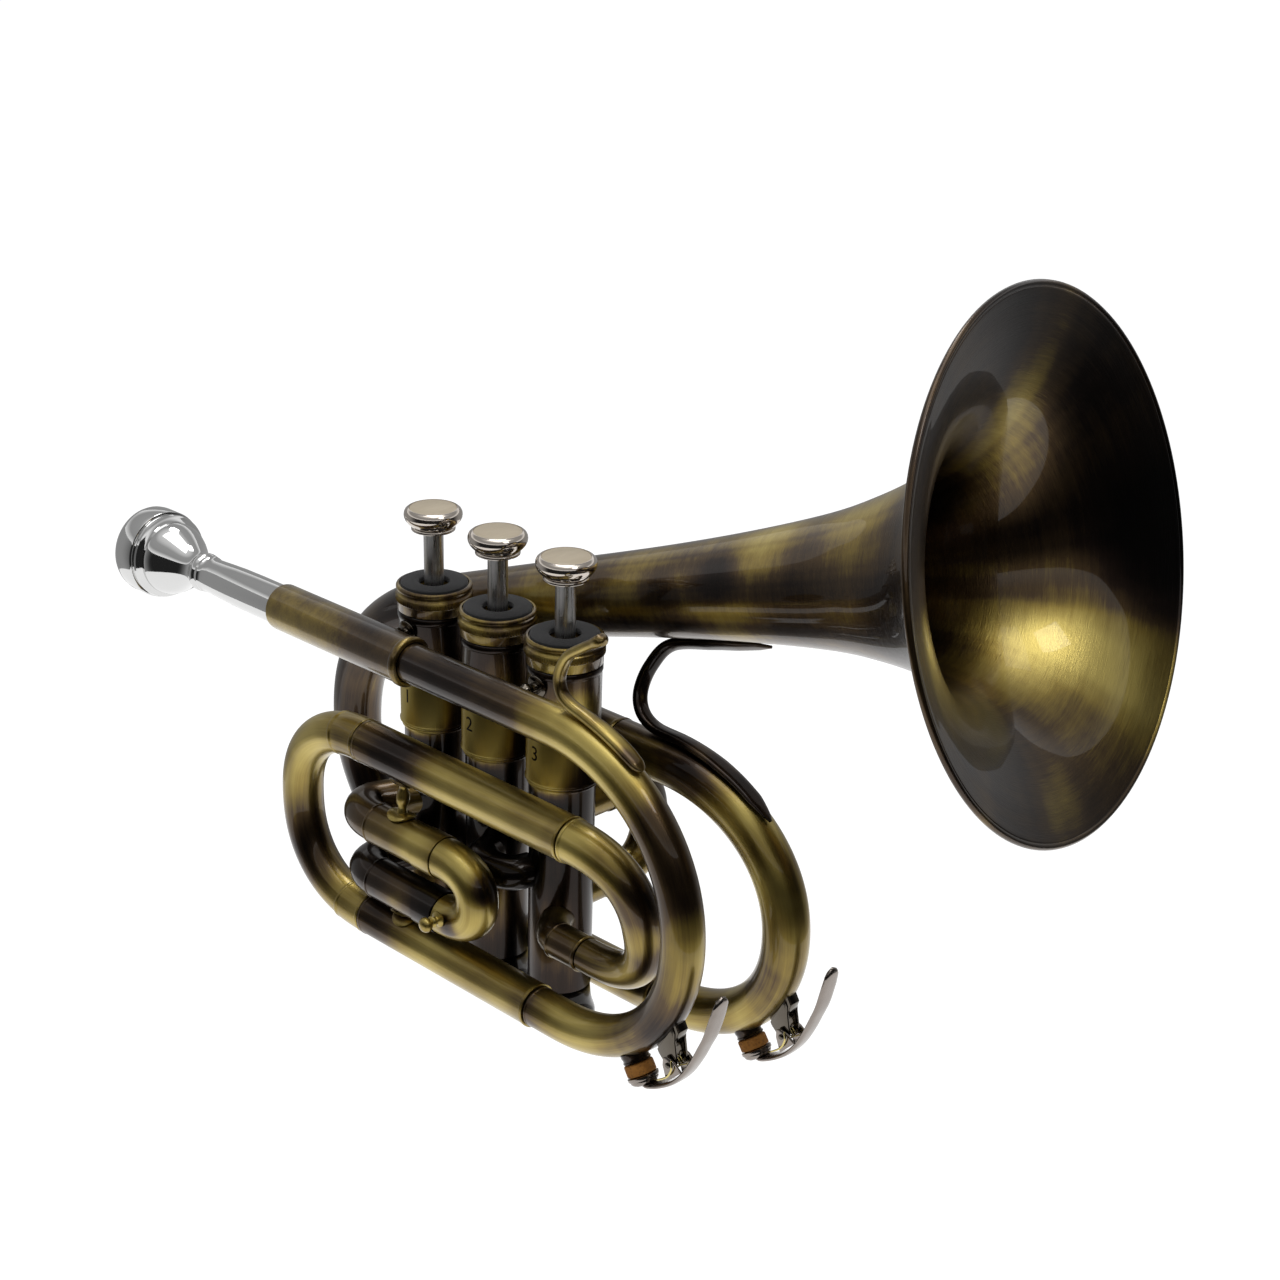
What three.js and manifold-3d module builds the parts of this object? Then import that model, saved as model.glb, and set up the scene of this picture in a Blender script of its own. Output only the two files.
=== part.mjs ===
// Pocket trumpet in antique brass, millimetres, +Z up along the valves, +X the way the leadpipe blows.
// The origin is the middle of the second valve casing, where the left hand grips the three casings.

import * as THREE from "three";
import { mergeVertices } from "three/addons/utils/BufferGeometryUtils.js";
import Module from "manifold-3d";

const wasm = await Module();
wasm.setup();

// Clearance between pieces, overrun of cutters, and the length in which a tube steps to a new radius
const gap = 0.3;
const overrun = 5;
const step = 0.05;

// Facet counts
const roundSides = 18;
const tubeSides = 12;
const boreSides = 6;
const smallSides = 10;
const wireSides = 5;

// Valve row
const valveNumbers = [1, 2, 3];
const valveSpacing = 26.3;
const valveStroke = 14.6;
const portRadius = 4.2;
const casing = {
  bore: 8.5, radius: 9.2, foot: -52, balusterRadius: 10.2, ringRadius: 10.55, ringFoot: 11.8, ringHeight: 1.8,
  shoulder: 46.8, threadRadius: 9.6, threadTop: 51.2,
};
const felt = { radius: 9.5, hole: 4.3, thickness: 1.3, edge: 0.2 };
const topCap = { radius: 10.5, knurlRadius: 11.05, rimRadius: 10.8, hole: 4.2, deck: 1.9, rimHeight: 1 };
const bottomCap = { height: 10.7, spigotWall: 0.8, floor: 2, vent: 1.5, neckRadius: 8.8, footRadius: 10.6 };
const piston = { foot: -33.5, stemRadius: 2.8, spigotRadius: 1.5, spigotLength: 3.3 };
const button = { radius: 8.2, height: 6.4 };
const pistonSpring = { curls: 4, radius: 6.3, wire: 0.45 };
const knuckle = { radius: 5, nearHeight: -16, farHeight: -28.8, nearReach: 14, farReach: 14 };

// Near side: mouthpiece, receiver and leadpipe, with the near front bow
const nearPlane = -24;
const leadpipeHeight = 42.3;
const mouthpiece = { rim: -133, length: 87.5, rimRadius: 13.5, shankEnd: 5.1, boreEnd: 4.3, shankRoom: 5.5 };
const receiver = { start: -65, end: -8.4, radius: 6.6, ringRadius: 7.15, ringLength: 2.2, bore: 5.9 };
const leadpipe = {
  start: mouthpiece.rim + mouthpiece.length + mouthpiece.shankRoom, radius: 5.45, endRadius: 5.9, wall: 0.65,
};
const nearBow = {
  topX: 47, bottomX: 51.6, top: leadpipeHeight, bottom: -44.3, reach: 45.2, power: 2.07, y: nearPlane,
  steps: 15,
};

// Main tuning slide and the two sleeves that hold it
const slideTop = 12;
const slideBottom = nearBow.bottom;
const sleeve = {
  radius: 6.35, rimRadius: 6.5, rimLength: 1, bore: 5.65, back: -28.6, topFront: 54, bottomFront: 42.2,
};
const tuning = {
  legFront: 30, wall: 0.7, ferruleBack: -39.5, bowRadius: 6.15, bowX: -29.6, reach: 30.4, power: 2.3, steps: 14,
};

// Small bow from the upper sleeve back to the third valve
const thirdBow = {
  height: -28, inset: 9.8, bottomX: 53.4, reach: 22.6, power: 2.45, startRadius: 6.1, endRadius: 4.9,
  wall: 0.8, steps: 10,
};
const thirdKnuckle = { front: 50.75, back: 39.7, ferruleRadius: 5.15, tubeRadius: 4.7, bore: 4.1 };

// First valve slide, in its own plane beside the tuning slide
const firstPlane = -26.5;
const first = {
  top: -10.8, bottom: -28.6, sleeveFront: 6.8, collarBack: -1.4, sleeveBack: -22, upperElbow: -33.4,
  lowerElbow: -31.4, elbowRadius: 5.9, elbowShare: 0.7, startShare: 0.25, sleeveRadius: 6.1, collarRadius: 6.4, bore: 5.4,
  slideWall: 0.6, crookRadius: 6, reach: 13.2, power: 2.4, steps: 8,
};
const firstKnob = { x: 11, length: 6.9, radius: 2.3, below: 2.2 };

// Second and third valve slides, which point to the player's left
const sideSlide = { bore: 4.75, sleeveRadius: 5.55, neckRadius: 5.15, crookRadius: 5.3, wall: 0.6, steps: 10 };
const secondSlide = {
  number: 2, name: "second", x: 0, top: -3, bottom: -17, neck: 14.5, sleeveEnd: 22, legStart: 11, reach: 7,
  power: 2,
};
const thirdSlide = {
  number: 3, name: "third", x: 27.5, top: 2.9, bottom: -24.7, neck: 15, sleeveEnd: 22.6, legStart: 11, reach: 11.4,
  power: 2.3,
};

// Far side: bell, its rear bow, the lower leg, the front bow and the upper leg
const farPlane = 21.85;
const farTop = 16.7;
const farBottom = -57.6;
const bell = {
  centre: new THREE.Vector3(144.3, 43.5, 93.8), pitch: THREE.MathUtils.degToRad(16.6),
  yaw: THREE.MathUtils.degToRad(7.1), rimRadius: 65.6, length: 196, wall: 0.8, beadRadius: 0.9,
};
const rearBow = {
  apexX: -86.6, apexHeight: -13, apexY: 19.2, endX: -44.5, endY: 20.5, startRadius: 8.7, endRadius: 6.5,
  upperPull: 0.61, lowerPull: 0.54, steps: 7,
};
const farBow = {
  topX: 45.6, bottomX: 46.7, top: farTop, bottom: farBottom, reach: 44.6, power: 2.11, y: farPlane, steps: 15,
};
const farTube = { radius: 6.5, legRadius: 6.7, wall: 0.8, topEnd: 27.4 };
const farFerrule = { radius: 6.65, back: 14, tubeRadius: 5.5, bend: 12, bendShare: 0.75 };
const elbowSteps = 5;

// Strap under the bell, finger hook, and the posts that tie the tubes
const strap = {
  thick: 2.8, footThick: 1.7, width: 5.4, back: 32.2, headShares: [0.53, 0.48, 0.43],
  seatShares: [0.25, 0.23, 0.21, 0.19, 0.165, 0.14, 0.11, 0.08, 0.05, 0.02],
};
const hook = {
  thick: 2.8, width: 4.8, ballRadius: 2.2, height: 23.2, reach: 15.4, back: 49,
  seatShares: [0.2, 0.18, 0.16, 0.14, 0.11, 0.08],
};
const post = { radius: 1.5, footReach: 4.4, footThick: 0.8, x: -12 };
const casingPost = { radius: 1.4, beadRadius: 2.1, footReach: 3.4 };

// Water keys on the outer side of the two front bows
const key = {
  width: 6, thick: 1.5, length: 41, rise: 9.6, pivotAlong: 15.3, pivotOut: 3.4, pinRadius: 0.7,
  nippleRadius: 3.9, nippleBore: 1.6, nippleHeight: 1.6, corkRadius: 4.1, corkHeight: 3.2, cupRadius: 4.4,
  cupHeight: 2.6, cupTopShare: 0.7, postWidth: 0.8, postPlace: 1.9, cheekWidth: 0.8, cheekPlace: 3,
};
const keySpring = { turns: 2.25, radius: 1.6, wire: 0.2, width: 2.2, arm: 2.4, foot: 2.6 };
const waterKeys = [
  { name: "near", bow: nearBow, share: 0.815, radius: leadpipe.endRadius },
  { name: "far", bow: farBow, share: 0.775, radius: farTube.radius },
];

// Colours
const finishes = {
  brass: new THREE.MeshStandardMaterial({ color: 0x7a6a3a, roughness: 0.35, metalness: 1 }),
  darkBrass: new THREE.MeshStandardMaterial({ color: 0x2a2520, roughness: 0.35, metalness: 1 }),
  nickel: new THREE.MeshStandardMaterial({ color: 0xb5aaa2, roughness: 0.15, metalness: 1 }),
  silver: new THREE.MeshStandardMaterial({ color: 0xd8d8d6, roughness: 0.08, metalness: 1 }),
  steel: new THREE.MeshStandardMaterial({ color: 0x8a8684, roughness: 0.3, metalness: 1 }),
  felt: new THREE.MeshStandardMaterial({ color: 0x1c1c1c, roughness: 0.95, metalness: 0 }),
  cork: new THREE.MeshStandardMaterial({ color: 0x9a5c1e, roughness: 0.8, metalness: 0 }),
};

const trumpet = new THREE.Group();
trumpet.name = "pocket_trumpet";

const v = (x, y, z) => new THREE.Vector3(x, y, z);
const up = v(0, 0, 1);
const forward = v(1, 0, 0);
const sideways = v(0, 1, 0);
const blend = (from, to, share) => from + (to - from) * share;
const valveX = (number) => (number - 2) * valveSpacing;

// A profile from shares of a radius and of a length
function outline(shares, radius, length) {
  return shares.map(([across, along]) => [across * radius, along * length]);
}

const toShape = (points) => new THREE.Shape(points.map(([x, y]) => new THREE.Vector2(x, y)));

// A curve with one extrusion step between each two of its stations, where the nearer neighbour of a station
// counts for more in the direction there, so that a tube starts and ends square after a short straight lead
class StationCurve extends THREE.Curve {
  constructor(points) {
    super();
    this.points = points;
  }

  getPoint(t, target = new THREE.Vector3()) {
    const last = this.points.length - 1;
    const place = Math.min(Math.max(t, 0), 1) * last;
    const start = Math.min(Math.floor(place), last - 1);
    return target.lerpVectors(this.points[start], this.points[start + 1], place - start);
  }

  getSpacedPoints() {
    return this.points.map((point) => point.clone());
  }

  getTangentAt(u, target = new THREE.Vector3()) {
    const last = this.points.length - 1;
    const here = Math.round(u * last);
    const before = target.subVectors(this.points[here], this.points[Math.max(here - 1, 0)]);
    const after = new THREE.Vector3().subVectors(this.points[Math.min(here + 1, last)], this.points[here]);
    if (before.lengthSq() > 0) before.divideScalar(before.lengthSq());
    if (after.lengthSq() > 0) after.divideScalar(after.lengthSq());
    return before.add(after).normalize();
  }
}

// A solid from closed three.js geometry, its flat slivers dropped and its faces turned outwards
function toSolid(geometry) {
  const bare = geometry.index ? geometry.toNonIndexed() : geometry.clone();
  bare.deleteAttribute("normal");
  bare.deleteAttribute("uv");
  const merged = mergeVertices(bare);
  const position = merged.attributes.position;
  const corners = merged.index.array;
  const kept = [];
  let volume = 0;
  const [a, b, c] = [v(0, 0, 0), v(0, 0, 0), v(0, 0, 0)];
  for (let i = 0; i < corners.length; i += 3) {
    const [p, q, r] = corners.slice(i, i + 3);
    if (p === q || q === r || r === p) continue;
    kept.push(p, q, r);
    a.fromBufferAttribute(position, p);
    b.fromBufferAttribute(position, q);
    c.fromBufferAttribute(position, r);
    volume += a.dot(b.cross(c));
  }
  if (volume < 0) kept.reverse();
  const mesh = new wasm.Mesh({
    numProp: 3,
    vertProperties: new Float32Array(position.array),
    triVerts: new Uint32Array(kept),
  });
  return new wasm.Manifold(mesh);
}

function toGeometry(solid) {
  const mesh = solid.getMesh();
  const count = mesh.vertProperties.length / mesh.numProp;
  const positions = new Float32Array(count * 3);
  for (let i = 0; i < count; i += 1) {
    const start = i * mesh.numProp;
    positions.set(mesh.vertProperties.subarray(start, start + 3), i * 3);
  }
  const geometry = new THREE.BufferGeometry();
  geometry.setAttribute("position", new THREE.BufferAttribute(positions, 3));
  geometry.setIndex(new THREE.BufferAttribute(new Uint32Array(mesh.triVerts), 1));
  geometry.computeVertexNormals();
  return geometry;
}

function addPart(name, solid, finish) {
  const mesh = new THREE.Mesh(toGeometry(solid), finishes[finish]);
  mesh.name = name;
  trumpet.add(mesh);
}

// A turned piece: a closed profile of [radius, distance] points round an axis that starts at a point
function turned(profile, at, along, sides = roundSides) {
  const points = [...profile, profile[0]].map(([radius, distance]) => new THREE.Vector2(radius, distance));
  const geometry = new THREE.LatheGeometry(points, sides);
  geometry.applyQuaternion(new THREE.Quaternion().setFromUnitVectors(sideways, along.clone().normalize()));
  geometry.translate(at.x, at.y, at.z);
  return toSolid(geometry);
}

// A plain round bar between two points, used as a piece and as a cutter
function bar(from, to, radius, sides = roundSides) {
  const length = from.distanceTo(to);
  const profile = [[0, 0], [radius, 0], [radius, length], [0, length]];
  return turned(profile, from, to.clone().sub(from), sides);
}

function ball(at, radius) {
  const geometry = new THREE.SphereGeometry(radius, smallSides, smallSides / 2);
  geometry.translate(at.x, at.y, at.z);
  return toSolid(geometry);
}

function ringPoints(radius, sides) {
  const points = [];
  for (let i = 0; i < sides; i += 1) {
    const angle = (i / sides) * 2 * Math.PI;
    points.push(new THREE.Vector2(radius * Math.cos(angle), radius * Math.sin(angle)));
  }
  return points;
}

function sweep(shape, points) {
  const options = { steps: points.length - 1, bevelEnabled: false, extrudePath: new StationCurve(points) };
  return new THREE.ExtrudeGeometry(shape, options);
}

// A solid round rod along points, for wire and for cutters
function rod(points, radius, sides) {
  return toSolid(sweep(new THREE.Shape(ringPoints(radius, sides)), points));
}

// A hollow tube through stations of { at, outer, inner }: a ring of radius 1 with a hole is swept, and then
// each corner is drawn in or out to the radius of its own station
function pipe(stations, innerSides = boreSides) {
  const holeShare = 0.5;
  const shape = new THREE.Shape(ringPoints(1, tubeSides));
  shape.holes.push(new THREE.Path(ringPoints(holeShare, innerSides)));
  const points = stations.map((station) => station.at);
  const curve = new StationCurve(points);
  const tangents = points.map((_, i) => curve.getTangentAt(i / (points.length - 1)));
  const geometry = sweep(shape, points);
  const position = geometry.attributes.position;
  const tolerance = 1e-3;
  const corner = v(0, 0, 0);
  for (let i = 0; i < position.count; i += 1) {
    corner.fromBufferAttribute(position, i);
    const home = stations.findIndex(({ at }, s) => {
      const offset = corner.clone().sub(at);
      const length = offset.length();
      const onRing = Math.abs(length - 1) < tolerance || Math.abs(length - holeShare) < tolerance;
      return onRing && Math.abs(offset.dot(tangents[s])) < tolerance;
    });
    const { at, outer, inner } = stations[home];
    const isOuter = corner.distanceTo(at) > (1 + holeShare) / 2;
    corner.sub(at).setLength(isOuter ? outer : inner).add(at);
    position.setXYZ(i, corner.x, corner.y, corner.z);
  }
  return toSolid(geometry);
}

const plainStations = (points, outer, inner) => points.map((at) => ({ at, outer, inner }));

function taperStations(points, startRadius, endRadius, wall) {
  return points.map((at, i) => {
    const outer = blend(startRadius, endRadius, i / (points.length - 1));
    return { at, outer, inner: outer - wall };
  });
}

// Half of a superellipse in an upright plane, from its top leg round to its bottom leg
function bowPoints({ topX, bottomX, top, bottom, reach, power, y, endY = y, steps }) {
  const points = [];
  const middle = (top + bottom) / 2;
  const half = (top - bottom) / 2;
  for (let i = 0; i <= steps; i += 1) {
    const angle = Math.PI * (i / steps - 1 / 2);
    const across = Math.abs(Math.cos(angle)) ** (2 / power);
    const fall = Math.sign(Math.sin(angle)) * Math.abs(Math.sin(angle)) ** (2 / power);
    const share = (1 + fall) / 2;
    points.push(v(blend(topX, bottomX, share) + reach * across, blend(y, endY, share), middle - half * fall));
  }
  return points;
}

// A quarter bend in a level plane from a casing's side into a tube that lies along X
function elbowPoints(start, corner, end) {
  return new THREE.QuadraticBezierCurve3(start, corner, end).getPoints(elbowSteps);
}

// Room for a casing, which cuts the tubes that reach it, and a casing's ring
function casingRoom(number) {
  const at = (height) => v(valveX(number), 0, height);
  const ringRoom = casing.ringRadius + gap;
  return bar(at(casing.foot - overrun), at(casing.ringFoot), casing.radius + gap)
    .add(bar(at(casing.ringFoot - gap), at(casing.threadTop), ringRoom));
}

// Ports of each valve: the height of a tube and the level direction in which it leaves
const ports = {
  1: [
    { height: first.top, toward: v(first.upperElbow - valveX(1), firstPlane, 0) },
    { height: first.bottom, toward: v(first.lowerElbow - valveX(1), firstPlane, 0) },
    { height: farTop, toward: v(0, farPlane, 0) },
    { height: knuckle.farHeight, toward: v(valveSpacing / 2, knuckle.farReach, 0) },
  ],
  2: [
    { height: secondSlide.top, toward: sideways },
    { height: secondSlide.bottom, toward: sideways },
    { height: knuckle.farHeight, toward: v(-valveSpacing / 2, knuckle.farReach, 0) },
    { height: knuckle.nearHeight, toward: v(valveSpacing / 2, -knuckle.nearReach, 0) },
  ],
  3: [
    { height: thirdSlide.top, toward: sideways },
    { height: thirdSlide.bottom, toward: sideways },
    { height: knuckle.nearHeight, toward: v(-valveSpacing / 2, -knuckle.nearReach, 0) },
    { height: thirdBow.height, toward: v(valveSpacing / 2, nearPlane / 2, 0) },
  ],
};

function portBar(number, { height, toward }, radius, through) {
  const centre = v(valveX(number), 0, height);
  const reach = toward.clone().setLength(casing.balusterRadius + overrun);
  const start = through ? centre.clone().sub(reach) : centre;
  return bar(start, centre.clone().add(reach), radius, boreSides);
}

// Valve casings with their ports, the second one with its knuckles to both neighbours

function makeCasing(number) {
  const { bore, radius, foot, balusterRadius, ringRadius, ringFoot, ringHeight, shoulder } = casing;
  const { threadRadius, threadTop } = casing;
  const profile = [
    [bore, foot], [radius, foot], [radius, ringFoot], [ringRadius, ringFoot + ringHeight / 4],
    [ringRadius, ringFoot + ringHeight / 2], [balusterRadius, ringFoot + ringHeight],
    [balusterRadius, shoulder], [threadRadius, shoulder], [threadRadius, threadTop], [bore, threadTop],
  ];
  const body = turned(profile, v(valveX(number), 0, 0), up);
  return ports[number].reduce((rest, port) => rest.subtract(portBar(number, port, portRadius, false)), body);
}

function makeKnuckle(side, away, reach, height) {
  const halfSpacing = valveSpacing / 2;
  const bendShares = [[0.4, 0.55], [0.55, 0.86], [1, 1], [1.45, 0.86], [1.6, 0.5]];
  const points = bendShares.map(([along, out]) => v(side * along * halfSpacing, away * out * reach, height));
  const route = new THREE.CatmullRomCurve3(points).getPoints(tubeSides / 2);
  const middle = (top) => v(0, 0, top);
  return pipe(plainStations(route, knuckle.radius, portRadius))
    .subtract(casingRoom(2 + side))
    .subtract(bar(middle(casing.foot), middle(casing.ringFoot), casing.bore));
}

const knuckles = makeKnuckle(-1, 1, knuckle.farReach, knuckle.farHeight)
  .add(makeKnuckle(1, -1, knuckle.nearReach, knuckle.nearHeight));

// Caps, felts, pistons, buttons and springs

const feltTop = casing.threadTop + gap + topCap.deck + gap + felt.thickness;
const capFoot = casing.shoulder + gap;
const capUnderside = casing.threadTop + gap;
const capDeck = capUnderside + topCap.deck;
const capTop = capDeck + topCap.rimHeight;
const buttonFoot = feltTop + valveStroke + gap;
const pistonTop = capUnderside - gap;
const spigotTop = piston.foot - valveStroke - gap;
const bottomCapTop = casing.foot - gap;

function makeTopCap(number) {
  const { radius, knurlRadius, rimRadius, hole } = topCap;
  const height = capTop - capFoot;
  const bore = casing.threadRadius + gap;
  const recess = felt.radius + gap;
  const ringShares = [0.35, 0.39, 0.63, 0.69, 0.8, 0.95];
  const heights = ringShares.map((share) => capFoot + share * height);
  const [knurlFoot, knurlStart, knurlEnd, neck, rimFoot, rimEnd] = heights;
  const profile = [
    [bore, capFoot], [radius, capFoot], [radius, knurlFoot], [knurlRadius, knurlStart],
    [knurlRadius, knurlEnd], [radius, neck], [rimRadius, rimFoot], [rimRadius, rimEnd], [recess, capTop],
    [recess, capDeck], [hole, capDeck], [hole, capUnderside], [bore, capUnderside],
  ];
  return turned(profile, v(valveX(number), 0, 0), up);
}

function makeFelt(number) {
  const foot = capDeck + gap;
  const profile = [
    [felt.hole, foot], [felt.radius, foot], [felt.radius, feltTop - felt.edge],
    [felt.radius - felt.edge, feltTop], [felt.hole, feltTop],
  ];
  return turned(profile, v(valveX(number), 0, 0), up);
}

function makeBottomCap(number) {
  const { height, spigotWall, floor, vent, neckRadius, footRadius } = bottomCap;
  const spigot = casing.bore - gap;
  const bore = spigot - spigotWall;
  const foot = bottomCapTop - height;
  const sweepShares = [[0.83, 0.84], [0.88, 0.5], [0.99, 0.11], [1, 0.04], [0.96, 0]];
  const profile = [
    [bore, spigotTop], [spigot, spigotTop], [spigot, bottomCapTop], [neckRadius, bottomCapTop],
    ...sweepShares.map(([across, along]) => [across * footRadius, foot + along * height]),
    [vent, foot], [vent, foot + floor], [bore, foot + floor],
  ];
  return turned(profile, v(valveX(number), 0, 0), up);
}

function makePiston(number) {
  const { foot, stemRadius, spigotRadius, spigotLength } = piston;
  const radius = casing.bore - gap;
  const stemTop = buttonFoot - gap;
  const profile = [
    [0, foot], [radius, foot], [radius, pistonTop], [stemRadius, pistonTop], [stemRadius, stemTop],
    [spigotRadius, stemTop], [spigotRadius, stemTop + spigotLength], [0, stemTop + spigotLength],
  ];
  const body = turned(profile, v(valveX(number), 0, 0), up);
  const through = ports[number].slice(0, 3);
  return through.reduce((rest, port) => rest.subtract(portBar(number, port, portRadius - gap, true)), body);
}

function makeButton(number) {
  const bore = piston.spigotRadius + gap;
  const depth = piston.spigotLength;
  const sideShares = [[0.75, 0], [0.86, 0.12], [0.89, 0.34], [1, 0.62], [1, 0.76], [0.93, 0.91], [0.8, 1]];
  const profile = [
    [bore, 0], ...outline(sideShares, button.radius, button.height), [0, button.height], [0, depth],
    [bore, depth],
  ];
  return turned(profile, v(valveX(number), 0, buttonFoot), up);
}

// The least gap of a wire to itself, measured between points at least one curl apart
function leastGap(points, wire, apart) {
  let least = Infinity;
  points.forEach((point, i) => {
    for (let j = i + apart; j < points.length; j += 1) least = Math.min(least, point.distanceTo(points[j]));
  });
  return least - 2 * wire;
}

function makePistonSpring(number) {
  const { curls, radius, wire } = pistonSpring;
  const stepsPerCurl = 8;
  const foot = bottomCapTop - bottomCap.height + bottomCap.floor + gap + wire;
  const top = piston.foot - gap - wire;
  const steps = curls * stepsPerCurl;
  const centreX = valveX(number);
  const points = [];
  for (let i = 0; i <= steps; i += 1) {
    const angle = (i / stepsPerCurl) * 2 * Math.PI;
    const height = blend(foot, top, i / steps);
    points.push(v(centreX + radius * Math.cos(angle), radius * Math.sin(angle), height));
  }
  const least = leastGap(points, wire, stepsPerCurl - 2);
  console.log(`piston spring ${number}: least gap to itself ${least.toFixed(2)}`);
  return rod(points, wire, wireSides);
}

for (const number of valveNumbers) {
  const body = makeCasing(number);
  addPart(`valve_casing_${number}`, number === 2 ? body.add(knuckles) : body, "brass");
  addPart(`top_cap_${number}`, makeTopCap(number), "brass");
  addPart(`felt_washer_${number}`, makeFelt(number), "felt");
  addPart(`bottom_cap_${number}`, makeBottomCap(number), "darkBrass");
  addPart(`piston_${number}`, makePiston(number), "steel");
  addPart(`finger_button_${number}`, makeButton(number), "nickel");
  addPart(`piston_spring_${number}`, makePistonSpring(number), "steel");
}

// Mouthpiece, receiver, leadpipe with the near front bow

function makeMouthpiece() {
  const { rim, length, rimRadius, shankEnd, boreEnd } = mouthpiece;
  const outsideShares = [
    [0.78, 0], [0.9, 0.007], [0.97, 0.02], [1, 0.04], [1, 0.122], [0.95, 0.13], [0.96, 0.14], [0.94, 0.175],
    [0.88, 0.2], [0.75, 0.25], [0.62, 0.283], [0.49, 0.32], [0.41, 0.342], [0.37, 0.37], [0.4, 0.76],
  ];
  const insideShares = [[0.14, 0.32], [0.14, 0.26], [0.3, 0.22], [0.5, 0.155], [0.6, 0.07], [0.64, 0.008]];
  const profile = [
    ...outline(outsideShares, rimRadius, length), [shankEnd, length], [boreEnd, length],
    ...outline(insideShares, rimRadius, length),
  ];
  return turned(profile, v(rim, nearPlane, leadpipeHeight), forward);
}

function makeReceiver() {
  const { start, end, radius, ringRadius, ringLength, bore } = receiver;
  const pipeBore = leadpipe.radius + gap;
  const inner = leadpipe.start - gap;
  const bevel = ringLength / 5;
  const profile = [
    [bore, start], [radius, start], [radius, end - ringLength], [ringRadius, end - ringLength + bevel],
    [ringRadius, end - bevel], [radius, end], [pipeBore, end], [pipeBore, inner], [bore, inner],
  ];
  return turned(profile, v(0, nearPlane, leadpipeHeight), forward);
}

function makeLeadpipe() {
  const points = [
    v(leadpipe.start, nearPlane, leadpipeHeight), ...bowPoints(nearBow),
    v(sleeve.bottomFront + gap, nearPlane, slideBottom),
  ];
  return pipe(taperStations(points, leadpipe.radius, leadpipe.endRadius, leadpipe.wall));
}

addPart("mouthpiece", makeMouthpiece(), "silver");
addPart("mouthpiece_receiver", makeReceiver(), "brass");
addPart("leadpipe", makeLeadpipe(), "brass");

// Tuning slide and its sleeves

function makeTuningSleeve(height, front) {
  const { radius, rimRadius, rimLength, bore, back } = sleeve;
  const station = (x, outer) => ({ at: v(x, nearPlane, height), outer, inner: bore });
  return pipe([
    station(back, rimRadius), station(back + rimLength, rimRadius),
    station(back + rimLength + step, radius), station(front - rimLength - step, radius),
    station(front - rimLength, rimRadius), station(front, rimRadius),
  ], tubeSides);
}

function makeTuningSlide() {
  const legRadius = sleeve.bore - gap;
  const inner = legRadius - tuning.wall;
  const front = sleeve.back - gap;
  const bow = bowPoints({
    topX: tuning.bowX, bottomX: tuning.bowX, top: slideTop, bottom: slideBottom, reach: -tuning.reach,
    power: tuning.power, y: nearPlane, steps: tuning.steps,
  });
  const leg = (x, height, outer) => ({ at: v(x, nearPlane, height), outer, inner });
  const bowRadiusAt = (x) => (x > tuning.ferruleBack ? sleeve.radius : tuning.bowRadius);
  const body = bow.map((at) => ({ at, outer: bowRadiusAt(at.x), inner }));
  return pipe([
    leg(tuning.legFront, slideTop, legRadius), leg(front + step, slideTop, legRadius),
    leg(front, slideTop, sleeve.radius), ...body, leg(front, slideBottom, sleeve.radius),
    leg(front + step, slideBottom, legRadius), leg(tuning.legFront, slideBottom, legRadius),
  ]);
}

addPart("tuning_upper_sleeve", makeTuningSleeve(slideTop, sleeve.topFront), "brass");
addPart("tuning_lower_sleeve", makeTuningSleeve(slideBottom, sleeve.bottomFront), "brass");
addPart("main_tuning_slide", makeTuningSlide(), "brass");

// Small bow and knuckle into the third casing

const thirdBowY = nearPlane + thirdBow.inset;

function makeThirdBow() {
  const { height, startRadius, endRadius, wall } = thirdBow;
  const start = sleeve.topFront + gap;
  const bow = bowPoints({
    ...thirdBow, topX: start + step, top: slideTop, bottom: height, y: nearPlane, endY: thirdBowY,
  });
  const end = v(thirdKnuckle.front + gap, thirdBowY, height);
  return pipe(taperStations([v(start, nearPlane, slideTop), ...bow, end], startRadius, endRadius, wall));
}

function makeThirdKnuckle() {
  const { front, back, ferruleRadius, tubeRadius, bore } = thirdKnuckle;
  const at = (x, y) => v(x, y, thirdBow.height);
  const bend = elbowPoints(at(back - step, thirdBowY), at(back - bore, thirdBowY), at(valveX(3) + bore, -bore));
  const stations = [
    { at: at(front, thirdBowY), outer: ferruleRadius, inner: bore },
    { at: at(back, thirdBowY), outer: ferruleRadius, inner: bore },
    ...plainStations(bend, tubeRadius, bore),
  ];
  return pipe(stations).subtract(casingRoom(3));
}

addPart("third_valve_bow", makeThirdBow(), "brass");
addPart("third_valve_knuckle", makeThirdKnuckle(), "brass");

// First valve slide

function makeFirstSleeve(height, elbow) {
  const { sleeveFront, collarBack, sleeveBack, elbowRadius, sleeveRadius, collarRadius, bore } = first;
  const at = (x, y) => v(x, y, height);
  const bendStart = at(elbow, firstPlane * first.elbowShare);
  const bend = elbowPoints(bendStart, at(elbow, firstPlane), at(sleeveBack, firstPlane));
  const elbowBore = bore - gap;
  const stations = [
    { at: at(blend(valveX(1), elbow, first.startShare), -bore), outer: elbowRadius, inner: elbowBore },
    ...plainStations(bend, elbowRadius, elbowBore),
    { at: at(sleeveBack + step, firstPlane), outer: sleeveRadius, inner: bore },
    { at: at(collarBack, firstPlane), outer: sleeveRadius, inner: bore },
    { at: at(collarBack + step, firstPlane), outer: collarRadius, inner: bore },
    { at: at(sleeveFront, firstPlane), outer: collarRadius, inner: bore },
  ];
  return pipe(stations, tubeSides).subtract(casingRoom(1));
}

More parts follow.
